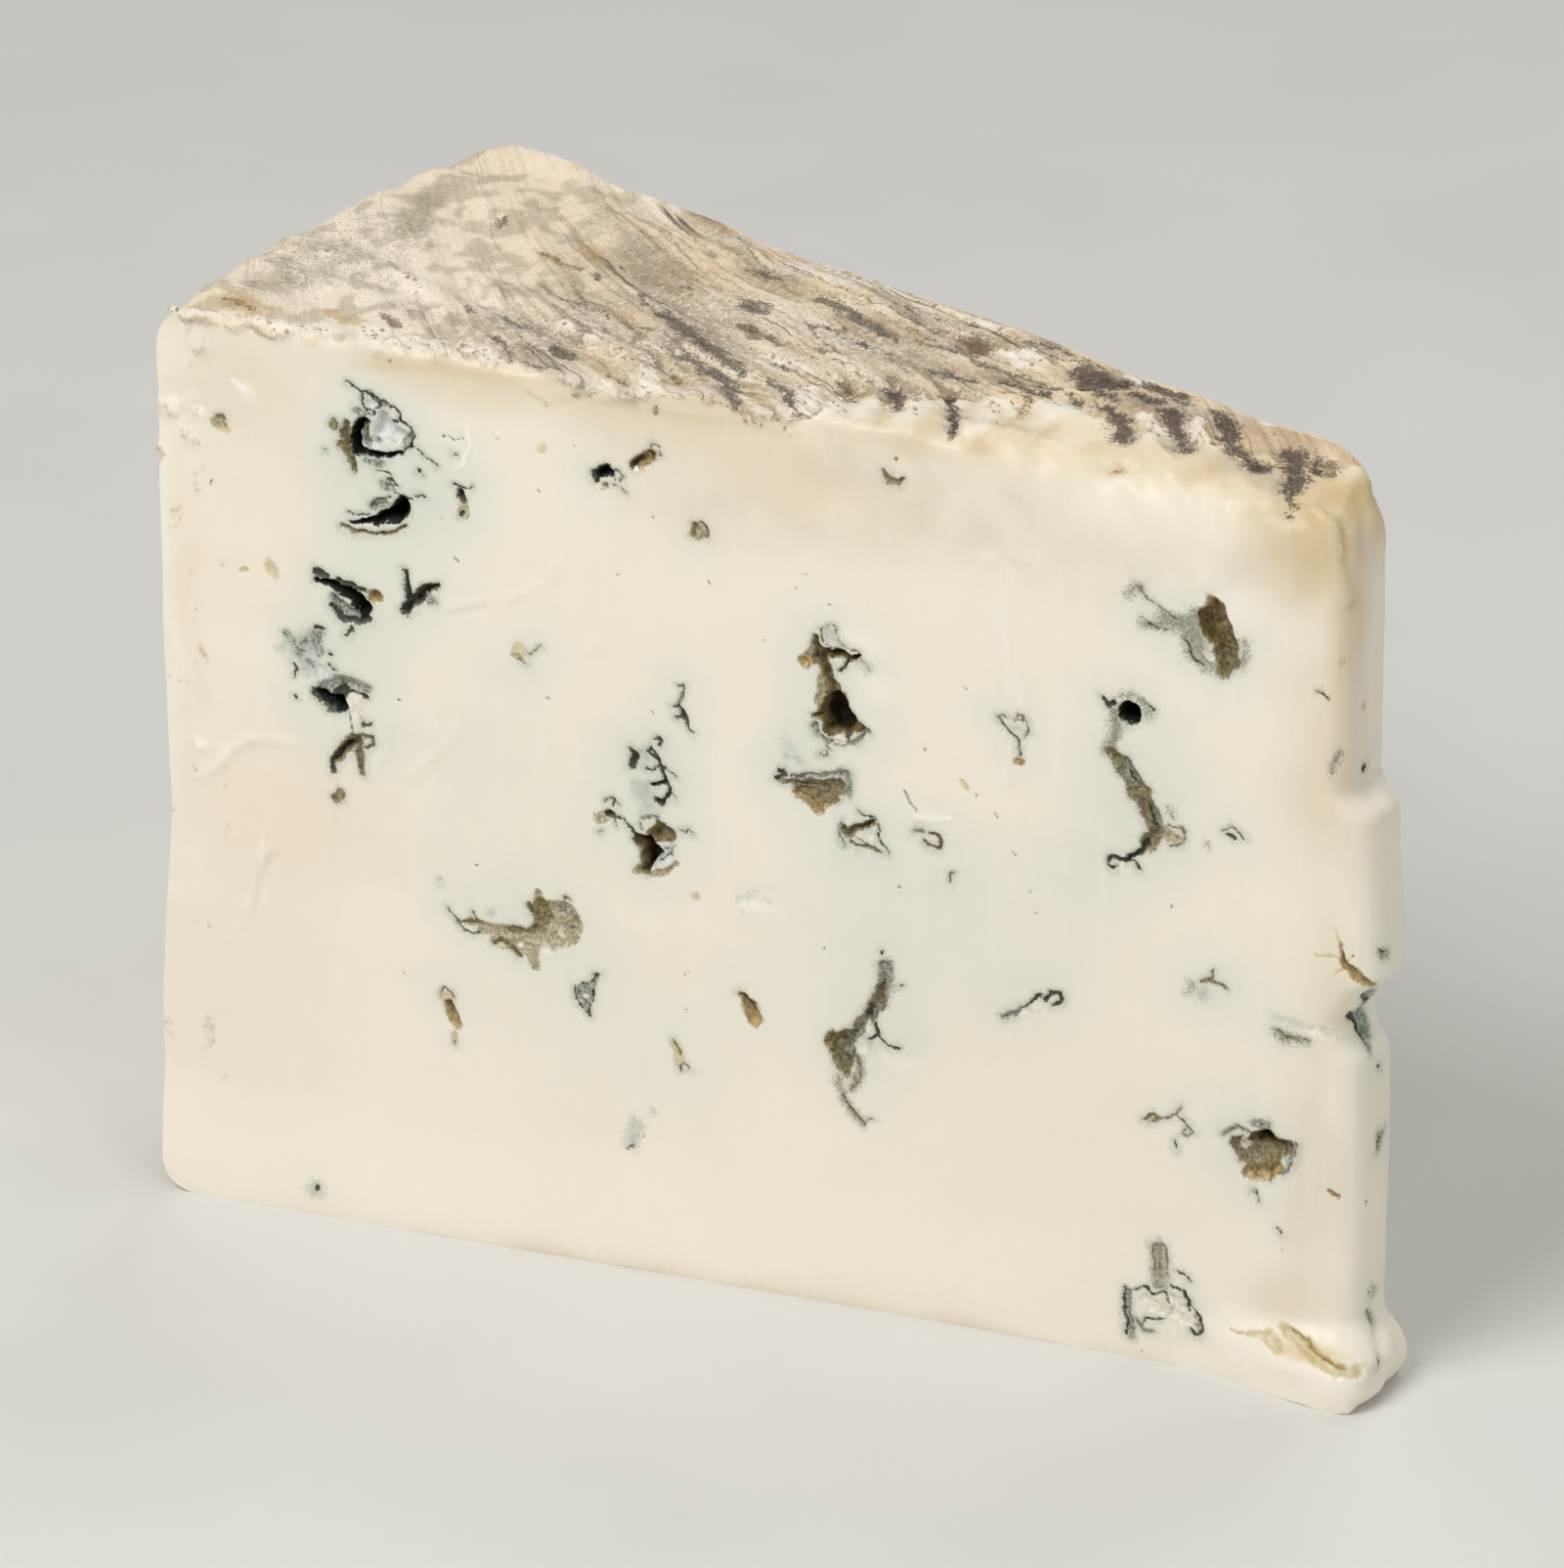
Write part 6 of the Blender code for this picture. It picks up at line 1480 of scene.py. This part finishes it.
# How noise is drawn out: knife streaks down the cuts, and fibres and smudges along the rind's
# streaks, across them and up.
KNIFE_DRAW = (1.0, 1.0, 0.04)
FIBRE_DRAW = (0.07, 1.0, 0.4)
SMUDGE_DRAW = (0.25, 1.0, 0.5)
# Layers of the paste: the size of their noise, where it starts and is full, and their colour.
CLOUD_SIZE = 14.0
CLOUD = (0.35, 0.65, "#f4ecda")
KNIFE_SIZE = 1.0
KNIFE = (0.54, 0.80, "#f8f2e4")
PASTE_LAYER_AMOUNT = 0.22
FRINGE_SIZE = 0.6  # the rind ends in a fringe this ragged and this wide
FRINGE_WIDTH = 1.8
FRINGE_SOFTNESS = 0.4
PRESENT = 0.08  # a finish comes in as its value rises from 0 to this
MIDDLE = {"From Min": 0.35, "From Max": 0.65}  # the stretch that noise mostly keeps to

# Roughness, and relief finer than the mesh, in millimetres.
PASTE_ROUGHNESS = 0.42
RIND_ROUGHNESS = 0.85
RIPPLE_SIZE = 1.4
RIPPLE_HEIGHT = 0.05
KNIFE_HEIGHT = 0.06
FIBRE_HEIGHT = 1.6
THREAD_DEPTH = 0.15
GRAIN_RELIEF = 0.2

# Light goes a little way into the fat of the paste, the red of it farthest, in millimetres.
PASTE_GLOW = 0.12
PASTE_GLOW_REACH = 1.5
PASTE_GLOW_COLOURS = (1.0, 0.75, 0.5)
FAT_IOR = 1.45


def lay_coat(tree, at, under, coat):
    """Lay one finish over the colour and roughness under it."""
    value, one, two, waver, grit, ragged, need, soft, full, rough = coat
    colour, roughness = under
    share = add(tree, VALUE, attribute_name=value).outputs["Fac"]
    loose = add(tree, NOISE, {"Vector": at, "Scale": per_mm(grit), "Detail": 2.0})
    loose = add(tree, MATH, {0: loose, 1: ragged, 2: -0.5 * ragged}, operation="MULTIPLY_ADD")
    there = add(tree, MATH, {0: share, 1: loose}, operation="ADD")
    cover = add(tree, RANGE, {"Value": there, "From Min": need - soft / 2, "From Max": need + soft / 2,
                              "To Max": full}, interpolation_type="SMOOTHSTEP")
    present = add(tree, RANGE, {"Value": share, "From Max": PRESENT})
    cover = add(tree, MATH, {0: cover, 1: present}, operation="MULTIPLY")
    mottle = add(tree, NOISE, {"Vector": at, "Scale": per_mm(waver), "Detail": 3.0})
    tone = add(tree, RANGE, {"Value": mottle, **MIDDLE})
    own = add(tree, MIX, {"Factor": tone, 6: shade(one), 7: shade(two)}, data_type="RGBA")
    laid = add(tree, MIX, {"Factor": cover, 6: colour, 7: own}, data_type="RGBA")
    matt = add(tree, MIX, {"Factor": cover, 2: roughness, 3: rough}, data_type="FLOAT")
    return laid, matt


def paste_finish(tree, at):
    """Colour, roughness and relief of the paste: the tints of the cut, clouded, with knife streaks
    drawn down it, and what grows in its pockets."""
    drawn = add(tree, STRETCH, {"Vector": at, "Scale": KNIFE_DRAW})
    clouds = add(tree, NOISE, {"Vector": at, "Scale": per_mm(CLOUD_SIZE), "Detail": 3.0})
    knife = add(tree, NOISE, {"Vector": drawn, "Scale": per_mm(KNIFE_SIZE), "Detail": 4.0})
    paste = add(tree, VALUE, attribute_name="paste_tint").outputs["Color"]
    for noisy, (start, full, code) in ((clouds, CLOUD), (knife, KNIFE)):
        share = add(tree, RANGE, {"Value": noisy, "From Min": start, "From Max": full,
                                  "To Max": PASTE_LAYER_AMOUNT})
        paste = add(tree, MIX, {"Factor": share, 6: paste, 7: shade(code)}, data_type="RGBA")
    under = (paste, PASTE_ROUGHNESS)
    for coat in PASTE_COATS:
        under = lay_coat(tree, at, under, coat)
    ripple = add(tree, NOISE, {"Vector": at, "Scale": per_mm(RIPPLE_SIZE), "Detail": 2.0})
    middle = -0.5 * (RIPPLE_HEIGHT + KNIFE_HEIGHT)
    relief = add(tree, MATH, {0: ripple, 1: RIPPLE_HEIGHT, 2: middle}, operation="MULTIPLY_ADD")
    relief = add(tree, MATH, {0: knife, 1: KNIFE_HEIGHT, 2: relief}, operation="MULTIPLY_ADD")
    return *under, relief


def rind_finish(tree, at):
    """Colour, roughness and relief of the rind: cream, tan and grey, drawn out in fine fibres and
    dark threads along the streaks, smudged with grey-brown mould, stippled and frosted where it is
    gritty, and bloomed over."""
    flow = add(tree, VALUE, attribute_name="flow").outputs["Vector"]
    rind = add(tree, VALUE, attribute_name="rind_tint").outputs["Color"]
    where = {name: add(tree, VALUE, attribute_name=name).outputs["Fac"] for name in ("fibre", "grit")}
    ways = {"even": at}
    for way, draw in (("drawn", FIBRE_DRAW), ("loose", SMUDGE_DRAW)):
        ways[way] = add(tree, STRETCH, {"Vector": flow, "Scale": draw})
    noisy = {}
    for name, way, size, detail in RIND_NOISES:
        noisy[name] = add(tree, NOISE, {"Vector": ways[way], "Scale": per_mm(size), "Detail": detail})
    noisy["patches"] = add(tree, MATH, {0: noisy["stipple"], 1: STIPPLE_IN_PATCHES, 2: noisy["smudges"]},
                           operation="MULTIPLY_ADD")
    for name, start, full, amount, value, code, mixing in RIND_LAYERS:
        share = add(tree, RANGE, {"Value": noisy[name], "From Min": start, "From Max": full,
                                  "To Max": amount})
        share = add(tree, MATH, {0: share, 1: where[value]}, operation="MULTIPLY")
        rind = add(tree, MIX, {"Factor": share, 6: rind, 7: shade(code)}, data_type="RGBA",
                   blend_type=mixing)

    # Dark threads run where their noise crosses its middle.
    thread = add(tree, MATH, {0: noisy["threads"], 1: 0.5}, operation="SUBTRACT")
    thread = add(tree, MATH, {0: thread}, operation="ABSOLUTE")
    thread = add(tree, RANGE, {"Value": thread, "From Min": THREAD_HALF, "From Max": 0.0,
                               "To Max": THREAD_AMOUNT})
    for value, start, full in ((noisy["breaks"], *THREAD_BREAKS), (where["fibre"], 0.0, THREAD_FIBRE)):
        share = add(tree, RANGE, {"Value": value, "From Min": start, "From Max": full})
        thread = add(tree, MATH, {0: thread, 1: share}, operation="MULTIPLY")
    rind = add(tree, MIX, {"Factor": thread, 6: rind, 7: shade(THREAD_COLOUR)}, data_type="RGBA")
    under = (rind, RIND_ROUGHNESS)
    for coat in RIND_COATS:
        under = lay_coat(tree, at, under, coat)

    heights = {}
    for name, value in (("fibres", "fibre"), ("grains", "grit")):
        even = add(tree, MATH, {0: noisy[name], 1: 0.5}, operation="SUBTRACT")
        heights[name] = add(tree, MATH, {0: even, 1: where[value]}, operation="MULTIPLY")
    relief = add(tree, MATH, {0: heights["fibres"], 1: FIBRE_HEIGHT, 2: heights["grains"]},
                 operation="MULTIPLY_ADD")
    relief = add(tree, MATH, {0: thread, 1: -THREAD_DEPTH, 2: relief}, operation="MULTIPLY_ADD")
    return *under, relief


def cheese_material():
    """Ivory paste of cow's milk under a dry natural rind: the paste is smooth, waxy and a little
    translucent from its fat, with a soft sheen; the rind is matt, granular and dusted with bloom."""
    material = bpy.data.materials.new("blue_cheese_paste_and_natural_rind")
    material.use_nodes = True
    tree = material.node_tree
    at = add(tree, "ShaderNodeTexCoord").outputs["Object"]
    paste, paste_rough, ripple = paste_finish(tree, at)
    rind, rind_rough, dry = rind_finish(tree, at)
    fringe = add(tree, NOISE, {"Vector": at, "Scale": per_mm(FRINGE_SIZE), "Detail": 2.0})
    fringe = add(tree, MATH, {0: fringe, 1: FRINGE_WIDTH, 2: -0.5 * FRINGE_WIDTH},
                 operation="MULTIPLY_ADD")
    edge = add(tree, VALUE, attribute_name="rind").outputs["Fac"]
    edge = add(tree, MATH, {0: edge, 1: fringe}, operation="ADD")
    rindy = add(tree, RANGE, {"Value": edge, "From Min": -FRINGE_SOFTNESS, "From Max": FRINGE_SOFTNESS},
                interpolation_type="SMOOTHSTEP")
    colour = add(tree, MIX, {"Factor": rindy, 6: paste, 7: rind}, data_type="RGBA")
    rough = add(tree, MIX, {"Factor": rindy, 2: paste_rough, 3: rind_rough}, data_type="FLOAT")
    relief = add(tree, MIX, {"Factor": rindy, 2: ripple, 3: dry}, data_type="FLOAT")
    for coat in OVER_COATS:
        colour, rough = lay_coat(tree, at, (colour, rough), coat)
    bump = add(tree, "ShaderNodeBump", {"Height": relief, "Distance": MM, "Strength": 1.0})
    shader = tree.nodes["Principled BSDF"]
    give(tree, shader, {"Base Color": colour, "Roughness": rough, "Normal": bump})
    shader.inputs["Subsurface Weight"].default_value = PASTE_GLOW
    shader.inputs["Subsurface Radius"].default_value = PASTE_GLOW_COLOURS
    shader.inputs["Subsurface Scale"].default_value = PASTE_GLOW_REACH * MM
    shader.inputs["IOR"].default_value = FAT_IOR
    return material


def plain_material(name, one, two, size, rough):
    """A matt finish that wavers between two colours, for grains and the floor."""
    material = bpy.data.materials.new(name)
    material.use_nodes = True
    tree = material.node_tree
    shader = tree.nodes["Principled BSDF"]
    at = add(tree, "ShaderNodeTexCoord").outputs["Object"]
    mottle = add(tree, NOISE, {"Vector": at, "Scale": per_mm(size), "Detail": 2.0})
    tone = add(tree, RANGE, {"Value": mottle, **MIDDLE})
    own = add(tree, MIX, {"Factor": tone, 6: shade(one), 7: shade(two)}, data_type="RGBA")
    bump = add(tree, "ShaderNodeBump", {"Height": mottle, "Distance": GRAIN_RELIEF * MM})
    give(tree, shader, {"Base Color": own, "Normal": bump})
    shader.inputs["Roughness"].default_value = rough
    return material


# A lump is a ball whose corners are moved by noise of this scale, less its middle.
LUMP_NOISE = 1.3
LUMP_MIDDLE = 0.55
# Grains scattered over the skin: their piece, the value they follow, how many to a square metre
# where it is full, the least of it that they need, their smallest and largest radius, and the name,
# two colours, size of mottle and roughness of their material.  Sizes are in millimetres.
GRAINS = (
    # Pale grey and powdery, so that it takes the shine off a pocket's floor.
    ("mould_grains", "fuzz", 3.0e6, 0.55, 0.06, 0.16,
     ("blue_grey_mould_spores", "#c6c9c1", "#62665c", 0.25, 0.95)),
    # Old mould, dry and almost black, that breaks up a pocket's edge.
    ("crust_grains", "crust", 3.0e6, 0.55, 0.05, 0.13,
     ("green_black_mould_crust", "#4b4f45", "#2c2e26", 0.4, 0.9)),
    # Crumbs of dry rind, chalky and without shine.
    ("rind_crumbs", "bloom", 1.0e6, 0.3, 0.08, 0.28,
     ("dry_rind_crumbs", "#d9ccb4", "#a99473", 0.8, 0.95)),
)


def scatter_tree(name):
    """A tree that sets rough little lumps over a skin, as thick as a named value says."""
    tree = bpy.data.node_groups.new(name, "GeometryNodeTree")
    for label, kind in (("Skin", "NodeSocketGeometry"), ("Value", "NodeSocketString"),
                        ("Per Square Metre", "NodeSocketFloat"), ("Least", "NodeSocketFloat"),
                        ("Smallest", "NodeSocketFloat"), ("Largest", "NodeSocketFloat"),
                        ("Material", "NodeSocketMaterial"), ("Seed", "NodeSocketInt")):
        tree.interface.new_socket(label, in_out="INPUT", socket_type=kind)
    tree.interface.new_socket("Lumps", in_out="OUTPUT", socket_type="NodeSocketGeometry")
    given = add(tree, "NodeGroupInput").outputs
    where = add(tree, "GeometryNodeInputNamedAttribute", {"Name": given["Value"]}, data_type="FLOAT")
    thick = add(tree, RANGE, {"Value": where.outputs["Attribute"], "From Min": given["Least"],
                              "From Max": 1.0, "To Max": given["Per Square Metre"]})
    spots = add(tree, "GeometryNodeDistributePointsOnFaces",
                {"Mesh": given["Skin"], "Density": thick, "Seed": given["Seed"]})
    ball = add(tree, "GeometryNodeMeshIcoSphere", {"Radius": 1.0, "Subdivisions": 1})
    rough = add(tree, NOISE, {"Scale": LUMP_NOISE})
    shrink = add(tree, "ShaderNodeVectorMath", {0: rough.outputs["Color"], 1: (-LUMP_MIDDLE,) * 3},
                 operation="ADD")
    lump = add(tree, "GeometryNodeSetPosition", {"Geometry": ball, "Offset": shrink})
    size = add(tree, RANDOM, {2: given["Smallest"], 3: given["Largest"], "Seed": given["Seed"]},
               data_type="FLOAT")
    spin = add(tree, RANDOM, {0: (0.0, 0.0, 0.0), 1: (math.tau,) * 3}, data_type="FLOAT_VECTOR")
    placed = add(tree, "GeometryNodeInstanceOnPoints",
                 {"Points": spots, "Instance": lump, "Rotation": spin, "Scale": size.outputs[1]})
    real = add(tree, "GeometryNodeRealizeInstances", {"Geometry": placed})
    done = add(tree, "GeometryNodeSetMaterial", {"Geometry": real, "Material": given["Material"]})
    add(tree, "NodeGroupOutput", {"Lumps": done})
    return tree


def scatter(name, tree, skin, **values):
    """Run the scattering tree over a copy of the skin, and keep what it makes as a plain mesh."""
    piece = bpy.data.objects.new(name, skin.data.copy())
    bpy.context.scene.collection.objects.link(piece)
    modifier = piece.modifiers.new("scatter", "NODES")
    modifier.node_group = tree
    sockets = {s.name: s.identifier for s in tree.interface.items_tree if s.in_out == "INPUT"}
    for label, value in values.items():
        modifier[sockets[label.replace("_", " ")]] = value
    mesh = bpy.data.meshes.new_from_object(piece.evaluated_get(bpy.context.evaluated_depsgraph_get()))
    piece.modifiers.clear()
    mesh.name = name
    mesh.shade_smooth()
    piece.data = mesh
    return piece


def dress():
    """Build every piece of the cheese."""
    place, faces, fields, flow, paste, rind = grow_skin()
    skin = new_piece("cheese_skin", set_down(place), faces, cheese_material())
    for name, values in fields.items():
        held = skin.data.attributes.new(name, "FLOAT", "POINT")
        held.data.foreach_set("value", values.astype(np.float32))
    for name, colours in (("paste_tint", paste), ("rind_tint", rind)):
        held = skin.data.attributes.new(name, "FLOAT_COLOR", "POINT")
        opaque = np.column_stack([colours, np.ones(len(colours))])
        held.data.foreach_set("color", opaque.astype(np.float32).ravel())
    held = skin.data.attributes.new("flow", "FLOAT_VECTOR", "POINT")
    held.data.foreach_set("vector", (flow * MM).astype(np.float32).ravel())
    tree = scatter_tree("scatter_lumps")
    pieces = [skin]
    for seed, (name, value, thick, least, smallest, largest, finish) in enumerate(GRAINS, start=1):
        pieces.append(scatter(name, tree, skin, Value=value, Per_Square_Metre=thick, Least=least,
                              Smallest=smallest * MM, Largest=largest * MM,
                              Material=plain_material(*finish), Seed=seed))
    for piece in pieces:
        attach(piece, "root")
        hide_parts(NODE)


# The camera and the studio, in metres and degrees.
CAMERA_TURN = math.radians(21.63)
CAMERA_LIFT = math.radians(24.35)
CAMERA_DISTANCE = 0.9751
CAMERA_LENS = 224.4
CAMERA_AIM = Vector((-0.00584, -0.00663, 0.04598))
FLOOR_SIZE = 3.0


def look(thing, place, aim):
    """Put a camera or a lamp at a place, facing another."""
    thing.location = place
    thing.rotation_euler = (aim - place).to_track_quat("-Z", "Y").to_euler()
    bpy.context.scene.collection.objects.link(thing)


def around(turn, lift, distance):
    """A place round the camera's aim: turn from the front, lift over the floor."""
    turn, lift = math.radians(turn), math.radians(lift)
    return CAMERA_AIM + distance * Vector((math.sin(turn) * math.cos(lift),
                                           -math.cos(turn) * math.cos(lift), math.sin(lift)))


def studio():
    """Camera, soft lamps, pale floor and even grey surroundings."""
    lens = bpy.data.cameras.new("camera")
    lens.lens = CAMERA_LENS
    lens.sensor_width = 36.0
    lens.clip_start, lens.clip_end = 0.01, 10.0
    camera = bpy.data.objects.new("camera", lens)
    look(camera, around(math.degrees(CAMERA_TURN), math.degrees(CAMERA_LIFT), CAMERA_DISTANCE), CAMERA_AIM)
    bpy.context.scene.camera = camera
    for name, turn, lift, distance, size, power in (
        ("key", -25.0, 50.0, 0.9, 0.5, 5.0),
        ("fill", 55.0, 30.0, 1.0, 0.6, 1.6),
        ("back", 170.0, 55.0, 1.0, 0.5, 2.0),
    ):
        lamp = bpy.data.lights.new(name, "AREA")
        lamp.shape = "DISK"
        lamp.size = size
        lamp.energy = power
        look(bpy.data.objects.new(name, lamp), around(turn, lift, distance), CAMERA_AIM)
    world = bpy.data.worlds.new("studio")
    bpy.context.scene.world = world
    world.use_nodes = True
    world.node_tree.nodes["Background"].inputs["Color"].default_value = shade("#f2f1ef")
    world.node_tree.nodes["Background"].inputs["Strength"].default_value = 0.35
    half = FLOOR_SIZE / 2
    corners = np.array([(-half, -half, 0.0), (half, -half, 0.0), (half, half, 0.0), (-half, half, 0.0)])
    floor = new_piece("floor", corners, np.array([[0, 1, 2, 3]]),
                      plain_material("pale_paper_floor", "#dfddd8", "#dcdad5", 40.0, 0.9))
    view = bpy.context.scene.view_settings
    view.view_transform = "Standard"
    view.look = "None"


dress()
studio()
